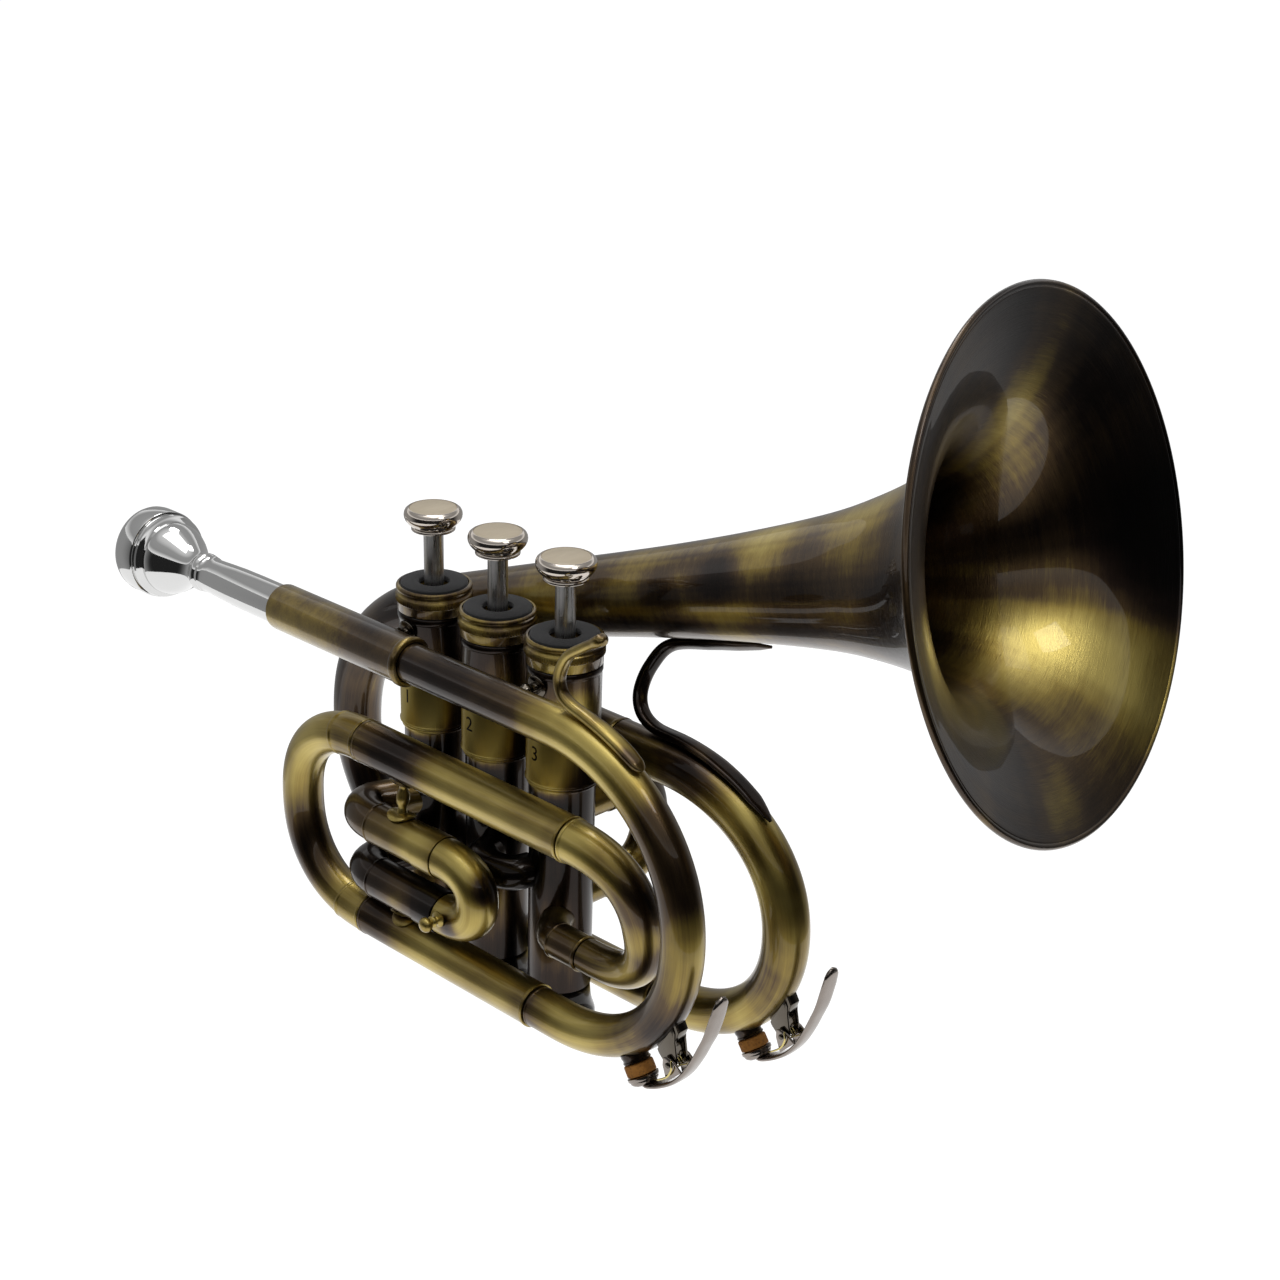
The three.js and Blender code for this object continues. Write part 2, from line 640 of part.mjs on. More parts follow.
function makeFirstSlide() {
  const { top, bottom, sleeveFront, sleeveBack, bore, slideWall, crookRadius } = first;
  const legRadius = bore - gap;
  const inner = legRadius - slideWall;
  const back = sleeveFront + gap;
  const legBack = sleeveBack + bore / 2;
  const leg = (x, height, outer) => ({ at: v(x, firstPlane, height), outer, inner });
  const crook = bowPoints({ ...first, topX: back + step, bottomX: back + step, y: firstPlane });
  return pipe([
    leg(legBack, top, legRadius), leg(back - step, top, legRadius), leg(back, top, crookRadius),
    ...plainStations(crook, crookRadius, inner), leg(back, bottom, crookRadius),
    leg(back - step, bottom, legRadius), leg(legBack, bottom, legRadius),
  ]);
}

function makeFirstKnob() {
  const { x, length, radius, below } = firstKnob;
  const sideShares = [
    [0, 0], [1, 0], [0.8, 0.14], [0.48, 0.22], [0.48, 0.35], [0.74, 0.42], [0.48, 0.5], [0.83, 0.61],
    [0.96, 0.77], [0.74, 0.93], [0, 1],
  ];
  const foot = v(x, firstPlane - first.crookRadius + gap, first.bottom + below);
  const crook = (along) => v(x + along, firstPlane, first.bottom);
  const room = bar(crook(-overrun), crook(overrun), first.crookRadius + gap);
  const away = sideways.clone().negate();
  return turned(outline(sideShares, radius, length), foot, away, smallSides).subtract(room);
}

addPart("first_sleeve_upper", makeFirstSleeve(first.top, first.upperElbow), "brass");
addPart("first_sleeve_lower", makeFirstSleeve(first.bottom, first.lowerElbow), "darkBrass");
addPart("first_slide", makeFirstSlide(), "brass");
addPart("first_slide_knob", makeFirstKnob(), "brass");

// Second and third slides

function makeSideSleeve({ number, x, neck, sleeveEnd }, height) {
  const { bore, sleeveRadius, neckRadius } = sideSlide;
  const station = (y, outer) => ({ at: v(x, y, height), outer, inner: bore });
  const stations = [
    station(casing.radius / 2, neckRadius), station(neck, neckRadius), station(neck + step, sleeveRadius),
    station(sleeveEnd, sleeveRadius),
  ];
  return pipe(stations, tubeSides).subtract(casingRoom(number));
}

function makeSideSlide({ x, top, bottom, sleeveEnd, legStart, reach, power }) {
  const { bore, crookRadius, wall, steps } = sideSlide;
  const legRadius = bore - gap;
  const inner = legRadius - wall;
  const start = sleeveEnd + gap;
  const leg = (y, height, outer) => ({ at: v(x, y, height), outer, inner });
  const bow = bowPoints({ topX: start + step, bottomX: start + step, top, bottom, reach, power, y: x, steps });
  const crook = bow.map((point) => leg(point.x, point.z, crookRadius));
  return pipe([
    leg(legStart, top, legRadius), leg(start - step, top, legRadius), leg(start, top, crookRadius), ...crook,
    leg(start, bottom, crookRadius), leg(start - step, bottom, legRadius), leg(legStart, bottom, legRadius),
  ]);
}

for (const slide of [secondSlide, thirdSlide]) {
  addPart(`${slide.name}_sleeve_upper`, makeSideSleeve(slide, slide.top), "brass");
  addPart(`${slide.name}_sleeve_lower`, makeSideSleeve(slide, slide.bottom), "brass");
  addPart(`${slide.name}_slide`, makeSideSlide(slide), "brass");
}

// Bell and the far tubes

const bellAxis = v(
  Math.cos(bell.pitch) * Math.cos(bell.yaw), Math.cos(bell.pitch) * Math.sin(bell.yaw), Math.sin(bell.pitch),
);
const bellPoint = (behindRim) => bell.centre.clone().addScaledVector(bellAxis, -behindRim);
const flareShares = [
  [0.953, 0.0036], [0.851, 0.0153], [0.735, 0.0332], [0.625, 0.0561], [0.524, 0.0867], [0.442, 0.1224],
  [0.375, 0.168], [0.3165, 0.2296], [0.267, 0.306], [0.2226, 0.4337], [0.189, 0.5867], [0.1357, 1],
];

// Radius of the bell at a distance behind its rim
function bellRadius(behindRim) {
  const along = behindRim / bell.length;
  const next = flareShares.findIndex(([, share]) => share >= along);
  const [[lowRadius, low], [highRadius, high]] = [flareShares[next - 1], flareShares[next]];
  return blend(lowRadius, highRadius, (along - low) / (high - low)) * bell.rimRadius;
}

function makeBell() {
  const { rimRadius, length, wall, beadRadius, centre } = bell;
  const outside = outline(flareShares, rimRadius, -length);
  const inside = outside.slice(0, -1).map(([radius, along]) => [radius - wall, along + wall]).reverse();
  const beadShares = [[-1.4, 0.6], [-0.6, 1], [0, 0], [-0.6, -1]];
  const bead = beadShares.map(([across, along]) => [rimRadius + across * beadRadius, along * beadRadius]);
  const tail = [outside.at(-1)[0] - wall, -length];
  return turned([tail, ...inside, ...bead, ...outside], centre, bellAxis, roundSides + tubeSides);
}

function makeRearBow() {
  const { apexX, apexHeight, apexY, endX, endY, startRadius, endRadius, upperPull, lowerPull } = rearBow;
  const start = bellPoint(bell.length + gap);
  const apex = v(apexX, apexY, apexHeight);
  const end = v(endX, endY, farBottom);
  const fall = start.z - apexHeight;
  const rise = apexHeight - farBottom;
  const width = endX - apexX;
  const upper = new THREE.CubicBezierCurve3(
    start, bellPoint(bell.length + width / 2), v(apexX, apexY, apexHeight + fall * upperPull), apex,
  ).getPoints(rearBow.steps);
  const lower = new THREE.CubicBezierCurve3(
    apex, v(apexX, apexY, apexHeight - rise * lowerPull), v(endX - width / 2, endY, farBottom), end,
  ).getPoints(rearBow.steps);
  const afterStart = bellPoint(bell.length + gap + step);
  const afterEnd = v(endX + step, endY, farBottom);
  const points = [start, afterStart, ...upper.slice(1), ...lower.slice(1), afterEnd];
  return pipe(taperStations(points, startRadius, endRadius, farTube.wall));
}

function makeFarLowerLeg() {
  const back = v(rearBow.endX + step + gap, rearBow.endY, farBottom);
  const front = v(farBow.bottomX - step - gap, farPlane, farBottom);
  const bend = (from, along) => v(from.x + along, from.y, farBottom);
  const points = [back, bend(back, gap), bend(front, -gap), front];
  return pipe(plainStations(points, farTube.legRadius, farTube.legRadius - farTube.wall));
}

function makeFarFrontBow() {
  const top = v(farTube.topEnd, farPlane, farTop);
  const bottom = v(farBow.bottomX - step, farPlane, farBottom);
  const points = [top, ...bowPoints(farBow), bottom];
  return pipe(plainStations(points, farTube.radius, farTube.radius - farTube.wall));
}

function makeFarUpperLeg() {
  const { radius, back, tubeRadius, bend, bendShare } = farFerrule;
  const bore = tubeRadius - farTube.wall;
  const at = (x, y) => v(x, y, farTop);
  const x = valveX(1);
  const elbow = elbowPoints(at(x + bend, farPlane), at(x, farPlane), at(x, farPlane - bend * bendShare));
  const stations = [
    { at: at(farTube.topEnd - gap, farPlane), outer: radius, inner: bore },
    { at: at(back, farPlane), outer: radius, inner: bore },
    { at: at(back - step, farPlane), outer: tubeRadius, inner: bore },
    ...plainStations(elbow, tubeRadius, bore),
    { at: at(x, casing.radius / 2), outer: tubeRadius, inner: bore },
  ];
  return pipe(stations).subtract(casingRoom(1));
}

addPart("bell", makeBell(), "brass");
addPart("bell_rear_bow", makeRearBow(), "brass");
addPart("far_lower_leg", makeFarLowerLeg(), "brass");
addPart("far_front_bow", makeFarFrontBow(), "brass");
addPart("far_upper_leg", makeFarUpperLeg(), "brass");

// The frame of a place on a bow's outer side: the point, the outward direction and the way up the bow
function bowFrame(bow, share, radius) {
  const fine = 200;
  const points = bowPoints({ ...bow, steps: fine });
  const here = Math.round(share * fine);
  const along = points[here - 1].clone().sub(points[here + 1]).normalize();
  const outward = v(along.z, 0, -along.x);
  return { at: points[here].clone().addScaledVector(outward, radius), outward, along };
}

// The closed outline of a strap whose centre line is given as [x, z, thickness] points
function ribbon(centreLine) {
  const side = (sign) => centreLine.map(([x, z, thick], i) => {
    const [beforeX, beforeZ] = centreLine[Math.max(i - 1, 0)];
    const [afterX, afterZ] = centreLine[Math.min(i + 1, centreLine.length - 1)];
    const reach = (sign * thick) / 2 / Math.hypot(afterX - beforeX, afterZ - beforeZ);
    return new THREE.Vector2(x - (afterZ - beforeZ) * reach, z + (afterX - beforeX) * reach);
  });
  return new THREE.Shape([...side(1), ...side(-1).reverse()]);
}

// An upright strap of a width along Y, with each point moved sideways to its own plane
function makeStrap(centreLine, width, planeAt) {
  const geometry = new THREE.ExtrudeGeometry(ribbon(centreLine), { depth: width, bevelEnabled: false });
  geometry.rotateX(Math.PI / 2);
  geometry.translate(0, width / 2, 0);
  const position = geometry.attributes.position;
  for (let i = 0; i < position.count; i += 1) {
    position.setY(i, position.getY(i) + planeAt(position.getX(i), position.getZ(i)));
  }
  return toSolid(geometry);
}

const flat = (points, thickAt) => points.map((point, i) => [point.x, point.z, thickAt(i)]);

// The centre line of a foot that lies on a bow and is thinner at its tip
function seatPoints(bow, radius, shares, thickAt) {
  return shares.map((share, i) => bowFrame(bow, share, radius + gap + thickAt(i) / 2).at);
}

function makeFingerHook() {
  const { thick, height, reach, back, width, ballRadius, seatShares } = hook;
  const thickAt = () => thick;
  const seat = seatPoints(nearBow, leadpipe.endRadius - gap, seatShares, thickAt);
  const foot = seat.at(-1);
  const curlShares = [[0.19, 0.1], [0, 0.25], [0.02, 0.44], [0.19, 0.64], [0.52, 0.8], [1, 1]];
  const curl = curlShares.map(([along, rise]) => v(back + along * reach, nearPlane, foot.z + rise * height));
  const sweepLine = new THREE.CatmullRomCurve3([foot, ...curl]).getPoints(curl.length * 2);
  const tip = sweepLine.at(-1);
  return makeStrap(flat([...seat.slice(0, -1), ...sweepLine], thickAt), width, () => nearPlane)
    .add(ball(tip, ballRadius));
}

function makeBellStrap() {
  const { thick, footThick, seatShares, headShares } = strap;
  const thickAt = (i) => blend(footThick, thick, Math.min(i / seatShares.length, 1));
  const seat = seatPoints(farBow, farTube.radius, seatShares, thickAt);
  const under = v(Math.sin(bell.pitch), 0, -Math.cos(bell.pitch));
  const underBell = (share) => {
    const behind = share * bell.length;
    return bellPoint(behind).addScaledVector(under, bellRadius(behind) + gap + thick / 2);
  };
  const [head, ...saddle] = headShares.map((share) => underBell(share));
  const foot = seat.at(-1);
  const rise = head.z - foot.z;
  const curlShares = [[0.45, 0.015], [0.14, 0.13], [0, 0.33], [0.04, 0.6], [0.3, 0.86]];
  const curl = curlShares.map(([along, height]) => {
    const x = blend(strap.back, head.x, along);
    return v(x, 0, foot.z + height * rise);
  });
  const sweepLine = new THREE.CatmullRomCurve3([foot, ...curl, head]).getPoints(curl.length * 3);
  const planeAt = (x, z) => {
    const share = THREE.MathUtils.smoothstep(z, foot.z, head.z);
    const bellY = bell.centre.y - ((bell.centre.x - x) * bellAxis.y) / bellAxis.x;
    return blend(farPlane, bellY, share);
  };
  const centreLine = flat([...seat.slice(0, -1), ...sweepLine, ...saddle], thickAt);
  return makeStrap(centreLine, strap.width, planeAt);
}

addPart("finger_hook", makeFingerHook(), "brass");
addPart("bell_strap", makeBellStrap(), "darkBrass");

// Posts with saddle feet between parallel tubes

function saddleFoot(from, toward, tube, radius, reach) {
  const disc = bar(from, from.clone().addScaledVector(toward, radius + overrun), reach, smallSides);
  const skin = bar(tube[0], tube[1], radius + gap + post.footThick);
  return disc.intersect(skin).subtract(bar(tube[0], tube[1], radius + gap));
}

function makeSlidePost(lower, upper) {
  const ends = [[lower, up], [upper, up.clone().negate()]];
  const at = ({ y, height }, x = post.x) => v(x, y, height);
  const tubeOf = (end) => [at(end, post.x - 2 * overrun), at(end, post.x + 2 * overrun)];
  const core = ends.reduce(
    (rest, [end]) => rest.subtract(bar(...tubeOf(end), end.radius + gap)),
    bar(at(lower), at(upper), post.radius, smallSides),
  );
  return ends.reduce(
    (rest, [end, toward]) => rest.add(saddleFoot(at(end), toward, tubeOf(end), end.radius, post.footReach)),
    core,
  );
}

function makeCasingPost(number, tubeRadius) {
  const at = (y, along = 0, rise = 0) => v(valveX(number) + along, y, leadpipeHeight + rise);
  const tube = [at(nearPlane, -2 * overrun), at(nearPlane, 2 * overrun)];
  const wall = [at(0, 0, -overrun), at(0, 0, overrun)];
  const { radius, beadRadius, footReach } = casingPost;
  const middle = (nearPlane + tubeRadius - casing.balusterRadius) / 2;
  return bar(at(nearPlane), at(0), radius, smallSides)
    .add(ball(at(middle), beadRadius))
    .subtract(bar(...tube, tubeRadius + gap))
    .subtract(bar(...wall, casing.balusterRadius + gap))
    .add(saddleFoot(at(nearPlane), sideways, tube, tubeRadius, footReach))
    .add(saddleFoot(at(0), sideways.clone().negate(), wall, casing.balusterRadius, footReach));
}

const upperSleeve = { y: nearPlane, height: slideTop, radius: sleeve.radius };
const lowerSleeve = { y: nearPlane, height: slideBottom, radius: sleeve.radius };
const firstUpper = { y: firstPlane, height: first.top, radius: first.sleeveRadius };
const firstLower = { y: firstPlane, height: first.bottom, radius: first.sleeveRadius };
addPart("slide_post_upper", makeSlidePost(firstUpper, upperSleeve), "brass");
addPart("slide_post_lower", makeSlidePost(lowerSleeve, firstLower), "brass");
addPart("leadpipe_post_first", makeCasingPost(1, receiver.radius), "nickel");
addPart("leadpipe_post_third", makeCasingPost(3, leadpipe.radius), "nickel");

// Water keys, drawn with x up the bow from the nipple's middle, z outwards from the bow, y across

function placeOnBow(geometry, { bow, share, radius }) {
  const { at, outward, along } = bowFrame(bow, share, radius);
  const turn = new THREE.Matrix4().makeBasis(along, sideways, outward.clone());
  turn.setPosition(at);
  return toSolid(geometry.applyMatrix4(turn));
}

// Room for the bow itself under a key's pieces
const bowRoom = ({ bow, radius }) => rod(bowPoints({ ...bow, steps: 40 }), radius + gap, roundSides);

function keyTurned(profile, at) {
  const points = [...profile, profile[0]].map(([radius, height]) => new THREE.Vector2(radius, height));
  const geometry = new THREE.LatheGeometry(points, smallSides);
  geometry.rotateX(Math.PI / 2);
  return placeOnBow(geometry, at);
}

function keyPin(radius, width, at) {
  const geometry = new THREE.CylinderGeometry(radius, radius, width, smallSides);
  geometry.translate(key.pivotAlong, 0, key.pivotOut);
  return placeOnBow(geometry, at);
}

function keyPlate(shape, width, place, at) {
  const geometry = new THREE.ExtrudeGeometry(shape, { depth: width, bevelEnabled: false });
  geometry.rotateX(Math.PI / 2);
  geometry.translate(0, place + width / 2, 0);
  return placeOnBow(geometry, at);
}

function makeKeySaddle(at) {
  const { pivotAlong, pivotOut, postPlace, postWidth, pinRadius } = key;
  const shapeOf = (shares) => toShape(outline(shares, pivotAlong, pivotOut));
  const cheek = shapeOf([
    [0.8, -2], [1.68, -4], [1.66, -1.75], [1.38, -0.8], [1.16, 0.9], [1.06, 1.4], [0.94, 1.4], [0.86, 1],
    [0.8, 0],
  ]);
  const base = shapeOf([[0.8, -2], [1.68, -4], [1.66, -1.75], [1.3, -0.6], [1, 0], [0.8, 0.1]]);
  return keyPlate(cheek, postWidth, postPlace, at)
    .add(keyPlate(cheek, postWidth, -postPlace, at))
    .add(keyPlate(base, postPlace * 2, 0, at))
    .add(keyPin(pinRadius, (key.cheekPlace + key.cheekWidth) * 2, at))
    .subtract(bowRoom(at));
}

function makeKeyNipple(at) {
  const { nippleRadius, nippleBore, nippleHeight } = key;
  const profile = [
    [nippleBore, -nippleHeight], [nippleRadius, -nippleHeight], [nippleRadius, nippleHeight],
    [nippleBore, nippleHeight],
  ];
  return keyTurned(profile, at).subtract(bowRoom(at));
}

const corkFoot = key.nippleHeight + gap;
const cupFoot = corkFoot + key.corkHeight + gap;

function makeKeyCork(at) {
  const [foot, top] = [corkFoot, corkFoot + key.corkHeight];
  return keyTurned([[0, foot], [key.corkRadius, foot], [key.corkRadius, top], [0, top]], at);
}

function makeKeyLever(at) {
  const { width, thick, length, rise, pivotAlong, pivotOut, cupRadius, cupHeight, pinRadius } = key;
  const top = cupFoot + cupHeight;
  const cup = [
    [0, cupFoot], [cupRadius, cupFoot], [cupRadius, top - cupHeight / 3], [cupRadius * key.cupTopShare, top],
    [0, top],
  ];
  const spineShares = [
    [0, 0.82], [0.07, 0.9], [0.2, 0.93], [0.32, 0.88], [0.44, 0.71], [0.57, 0.41], [0.67, 0.13],
    [0.77, -0.16], [0.865, -0.52], [0.946, -0.85], [1, -1.1],
  ];
  const cheekShares = [[0.86, 0.9], [0.94, 0.35], [1.05, 0.35], [1.14, 0.8], [1.24, 1.9], [0.78, 2.3]];
  const cheek = toShape(outline(cheekShares, pivotAlong, pivotOut));
  const across = (key.cheekPlace + key.cheekWidth / 2) * 2;
  const spine = outline(spineShares, length, rise).map(([along, out]) => [along, out, thick]);
  return keyPlate(ribbon(spine), width, 0, at)
    .add(keyTurned(cup, at))
    .add(keyPlate(cheek, key.cheekWidth, key.cheekPlace, at))
    .add(keyPlate(cheek, key.cheekWidth, -key.cheekPlace, at))
    .subtract(keyPin(pinRadius + gap, across + overrun, at));
}

// A torsion spring: a foot on the bow, its turns round the pin, and an arm under the lever
function makeKeySpring(at) {
  const { turns, radius, wire, width, arm, foot } = keySpring;
  const { pivotAlong, pivotOut } = key;
  const stepsPerTurn = 8;
  const steps = turns * stepsPerTurn;
  const points = [v(pivotAlong - radius, -width / 2, pivotOut - foot)];
  for (let i = 0; i <= steps; i += 1) {
    const angle = (i / stepsPerTurn) * 2 * Math.PI;
    const y = blend(-width / 2, width / 2, i / steps);
    points.push(v(pivotAlong - radius * Math.cos(angle), y, pivotOut + radius * Math.sin(angle)));
  }
  points.push(v(pivotAlong + arm, width / 2, pivotOut + radius));
  const least = leastGap(points, wire, stepsPerTurn - 2);
  console.log(`${at.name} key spring: least gap to itself ${least.toFixed(2)}`);
  return placeOnBow(sweep(new THREE.Shape(ringPoints(wire, wireSides)), points), at);
}

for (const at of waterKeys) {
  addPart(`${at.name}_key_saddle`, makeKeySaddle(at), "darkBrass");
  addPart(`${at.name}_key_nipple`, makeKeyNipple(at), "darkBrass");
  addPart(`${at.name}_key_cork`, makeKeyCork(at), "cork");
  addPart(`${at.name}_key_lever`, makeKeyLever(at), "nickel");
  addPart(`${at.name}_key_spring`, makeKeySpring(at), "brass");
}

export default trumpet;
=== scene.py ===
import math

import bpy
from mathutils import Matrix, Vector
from mathutils.geometry import interpolate_bezier


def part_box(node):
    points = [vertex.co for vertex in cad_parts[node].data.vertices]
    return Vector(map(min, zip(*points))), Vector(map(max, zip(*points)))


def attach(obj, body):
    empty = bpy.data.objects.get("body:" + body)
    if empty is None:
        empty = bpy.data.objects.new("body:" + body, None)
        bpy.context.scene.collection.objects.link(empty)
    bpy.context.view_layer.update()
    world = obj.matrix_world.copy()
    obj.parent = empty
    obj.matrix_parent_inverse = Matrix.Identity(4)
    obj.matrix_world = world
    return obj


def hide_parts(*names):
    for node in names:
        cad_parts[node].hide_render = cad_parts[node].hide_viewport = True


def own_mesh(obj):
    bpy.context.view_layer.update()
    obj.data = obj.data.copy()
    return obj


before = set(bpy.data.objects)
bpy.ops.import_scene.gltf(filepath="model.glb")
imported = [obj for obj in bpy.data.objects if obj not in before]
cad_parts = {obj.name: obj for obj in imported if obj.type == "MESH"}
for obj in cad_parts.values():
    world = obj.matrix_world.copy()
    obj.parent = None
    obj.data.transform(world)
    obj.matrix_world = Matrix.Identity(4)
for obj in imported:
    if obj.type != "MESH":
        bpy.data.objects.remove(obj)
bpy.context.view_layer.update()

# Lengths below are in millimetres, and the mesh is made in metres
MM = 0.001
UP = (0, 0, 1)
FORWARD = (1, 0, 0)
LEFT = (0, 1, 0)
RIGHT = (0, -1, 0)


# Selecting, placing and handing over pieces

def deselect():
    bpy.ops.object.select_all(action="DESELECT")


def pick(piece):
    deselect()
    piece.select_set(True)
    bpy.context.view_layer.objects.active = piece


def apply_place(piece):
    pick(piece)
    bpy.ops.object.transform_apply(location=True, rotation=True, scale=True)


def apply_modifier(piece, modifier):
    pick(piece)
    bpy.ops.object.modifier_apply(modifier=modifier.name)


def stand(piece, at, along=UP):
    """Stands a piece that was turned round the upright axis at a place, with its axis in a direction."""
    leaning = Vector(UP).rotation_difference(Vector(along)).to_matrix().to_4x4()
    piece.matrix_world = Matrix.Translation(Vector(at) * MM) @ leaning
    apply_place(piece)
    return piece


def join(pieces):
    deselect()
    for piece in pieces:
        piece.select_set(True)
    bpy.context.view_layer.objects.active = pieces[0]
    bpy.ops.object.join()
    return pieces[0]


def smooth(piece, degrees=38):
    pick(piece)
    bpy.ops.object.shade_smooth_by_angle(angle=math.radians(degrees))


def hand_over(piece, finish, slot, body, *nodes, degrees=38):
    """Gives a finished piece its finish and its body, and hides the nodes it stands for."""
    smooth(piece, degrees)
    piece.data.materials.clear()
    piece.data.materials.append(finish)
    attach(piece, body)
    if nodes:
        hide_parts(*nodes)
    return piece


# Turning on a lathe, bending along a line and cutting

def note_lathe(piece):
    """Keeps where each point was on the lathe, so that brush marks can follow the turned surface."""
    points = piece.data.vertices
    places = [0.0] * (3 * len(points))
    points.foreach_get("co", places)
    note = piece.data.attributes.new("lathe", "FLOAT_VECTOR", "POINT")
    note.data.foreach_set("vector", places)


def select_mesh(chosen=True):
    bpy.ops.mesh.select_all(action="SELECT" if chosen else "DESELECT")


def turn(name, profile, sides=72):
    """Turns a closed profile of (radius, height) points round the upright axis."""
    deselect()
    (radius, height), *rest = [*profile, profile[0]]
    bpy.ops.mesh.primitive_plane_add(size=MM, location=(radius * MM, 0, height * MM))
    piece = bpy.context.object
    piece.name = piece.data.name = name
    bpy.ops.object.mode_set(mode="EDIT")
    select_mesh()
    bpy.ops.mesh.merge(type="CENTER")
    for next_radius, next_height in rest:
        step = ((next_radius - radius) * MM, 0, (next_height - height) * MM)
        bpy.ops.mesh.extrude_vertices_move(TRANSFORM_OT_translate={"value": step})
        radius, height = next_radius, next_height
    select_mesh()
    bpy.ops.mesh.spin(steps=sides, angle=2 * math.pi, center=(0, 0, 0), axis=(0, 0, 1))
    select_mesh()
    bpy.ops.mesh.remove_doubles(threshold=MM / 1000)
    bpy.ops.mesh.normals_make_consistent(inside=False)
    bpy.ops.object.mode_set(mode="OBJECT")
    apply_place(piece)
    note_lathe(piece)
    return piece


def turned(name, profile, sides, at, along=UP):
    """Turns a profile and stands the piece in its place."""
    return stand(turn(name, profile, sides), at, along)


def path_lengths(path):
    """The distance along a path to each of its points."""
    lengths = [0.0]
    for start, end in zip(path, path[1:]):
        lengths.append(lengths[-1] + (Vector(end) - Vector(start)).length)
    return lengths


def length_of(path):
    return path_lengths(path)[-1]


def bend(piece, path):
    """Bends a piece that was turned round the upright axis so that its axis follows a path."""
    guide_curve = bpy.data.curves.new("guide", "CURVE")
    guide_curve.dimensions = "3D"
    guide_curve.twist_mode = "MINIMUM"
    line = guide_curve.splines.new("POLY")
    line.points.add(len(path) - 1)
    for point, place in zip(line.points, path):
        point.co = (*(Vector(place) * MM), 1)
    guide = bpy.data.objects.new("guide", guide_curve)
    bpy.context.scene.collection.objects.link(guide)
    bending = piece.modifiers.new("bend", "CURVE")
    bending.object = guide
    bending.deform_axis = "POS_Z"
    apply_modifier(piece, bending)
    bpy.data.objects.remove(guide)
    bpy.data.curves.remove(guide_curve)
    return piece


def radius_at(marks, distance):
    """The radius at a distance, between (distance, radius) marks."""
    for (start, before), (end, after) in zip(marks, marks[1:]):
        if start <= distance <= end:
            return before + (after - before) * (distance - start) / max(end - start, 1e-9)
    return marks[-1][1]


def both_ends(marks, length):
    """Marks counted from the start of a piece, with the same marks counted back from its end."""
    return [*marks, *((length - distance, *rest) for distance, *rest in reversed(marks))]


# A raised bead's outline: shares of its width and of its height
BEAD = ((-0.5, 0), (-0.42, 0.55), (-0.22, 0.93), (0, 1), (0.22, 0.93), (0.42, 0.55), (0.5, 0))


def tube(name, path, radius, wall=0.7, rings=(), spacing=1.4, sides=56):
    """A bent tube. Its radius is a number or (distance, radius) marks, and rings are the
    (distance, width, height) of raised beads round it."""
    length = length_of(path)
    marks = [(0, radius), (length, radius)] if isinstance(radius, (int, float)) else radius
    marks = [(min(distance, length), size) for distance, size in marks]
    count = max(int(length / spacing), 1)
    places = {length * i / count for i in range(count + 1)} | {distance for distance, _ in marks}
    outside = {round(place, 4): radius_at(marks, place) for place in places}
    for at, width, height in rings:
        for key in [key for key in outside if at - width / 2 < key < at + width / 2]:
            del outside[key]
        for share, lift in BEAD:
            place = min(max(at + share * width, 0), length)
            outside[round(place, 4)] = radius_at(marks, place) + lift * height
    edge = 0.15
    outer = [(size, place) for place, size in sorted(outside.items())]
    first, last = outer[0][0], outer[-1][0]
    outer = [(first - edge, 0), (first, edge), *outer[1:-1], (last, length - edge), (last - edge, length)]
    inner_count = max(int(length / (spacing * 2)), 1)
    inner_places = [length * i / inner_count for i in range(inner_count, -1, -1)]
    inner = [(radius_at(marks, place) - wall, place) for place in inner_places]
    return bend(turn(name, [*outer, *inner], sides), path)


# The radius of the room inside a valve casing, where the tubes that enter it end
CASING_BORE = 8.6


def bored(piece, x, radius=CASING_BORE):
    """Cuts the room of a valve casing out of a piece that enters it, so that it ends in the casing's wall."""
    bpy.ops.mesh.primitive_cylinder_add(vertices=96, radius=radius * MM, depth=0.13, location=(x * MM, 0, 0))
    cutter = bpy.context.object
    cut = piece.modifiers.new("bore", "BOOLEAN")
    cut.operation = "DIFFERENCE"
    cut.object = cutter
    apply_modifier(piece, cut)
    bpy.data.objects.remove(cutter)
    return piece


# Node helpers for the finishes

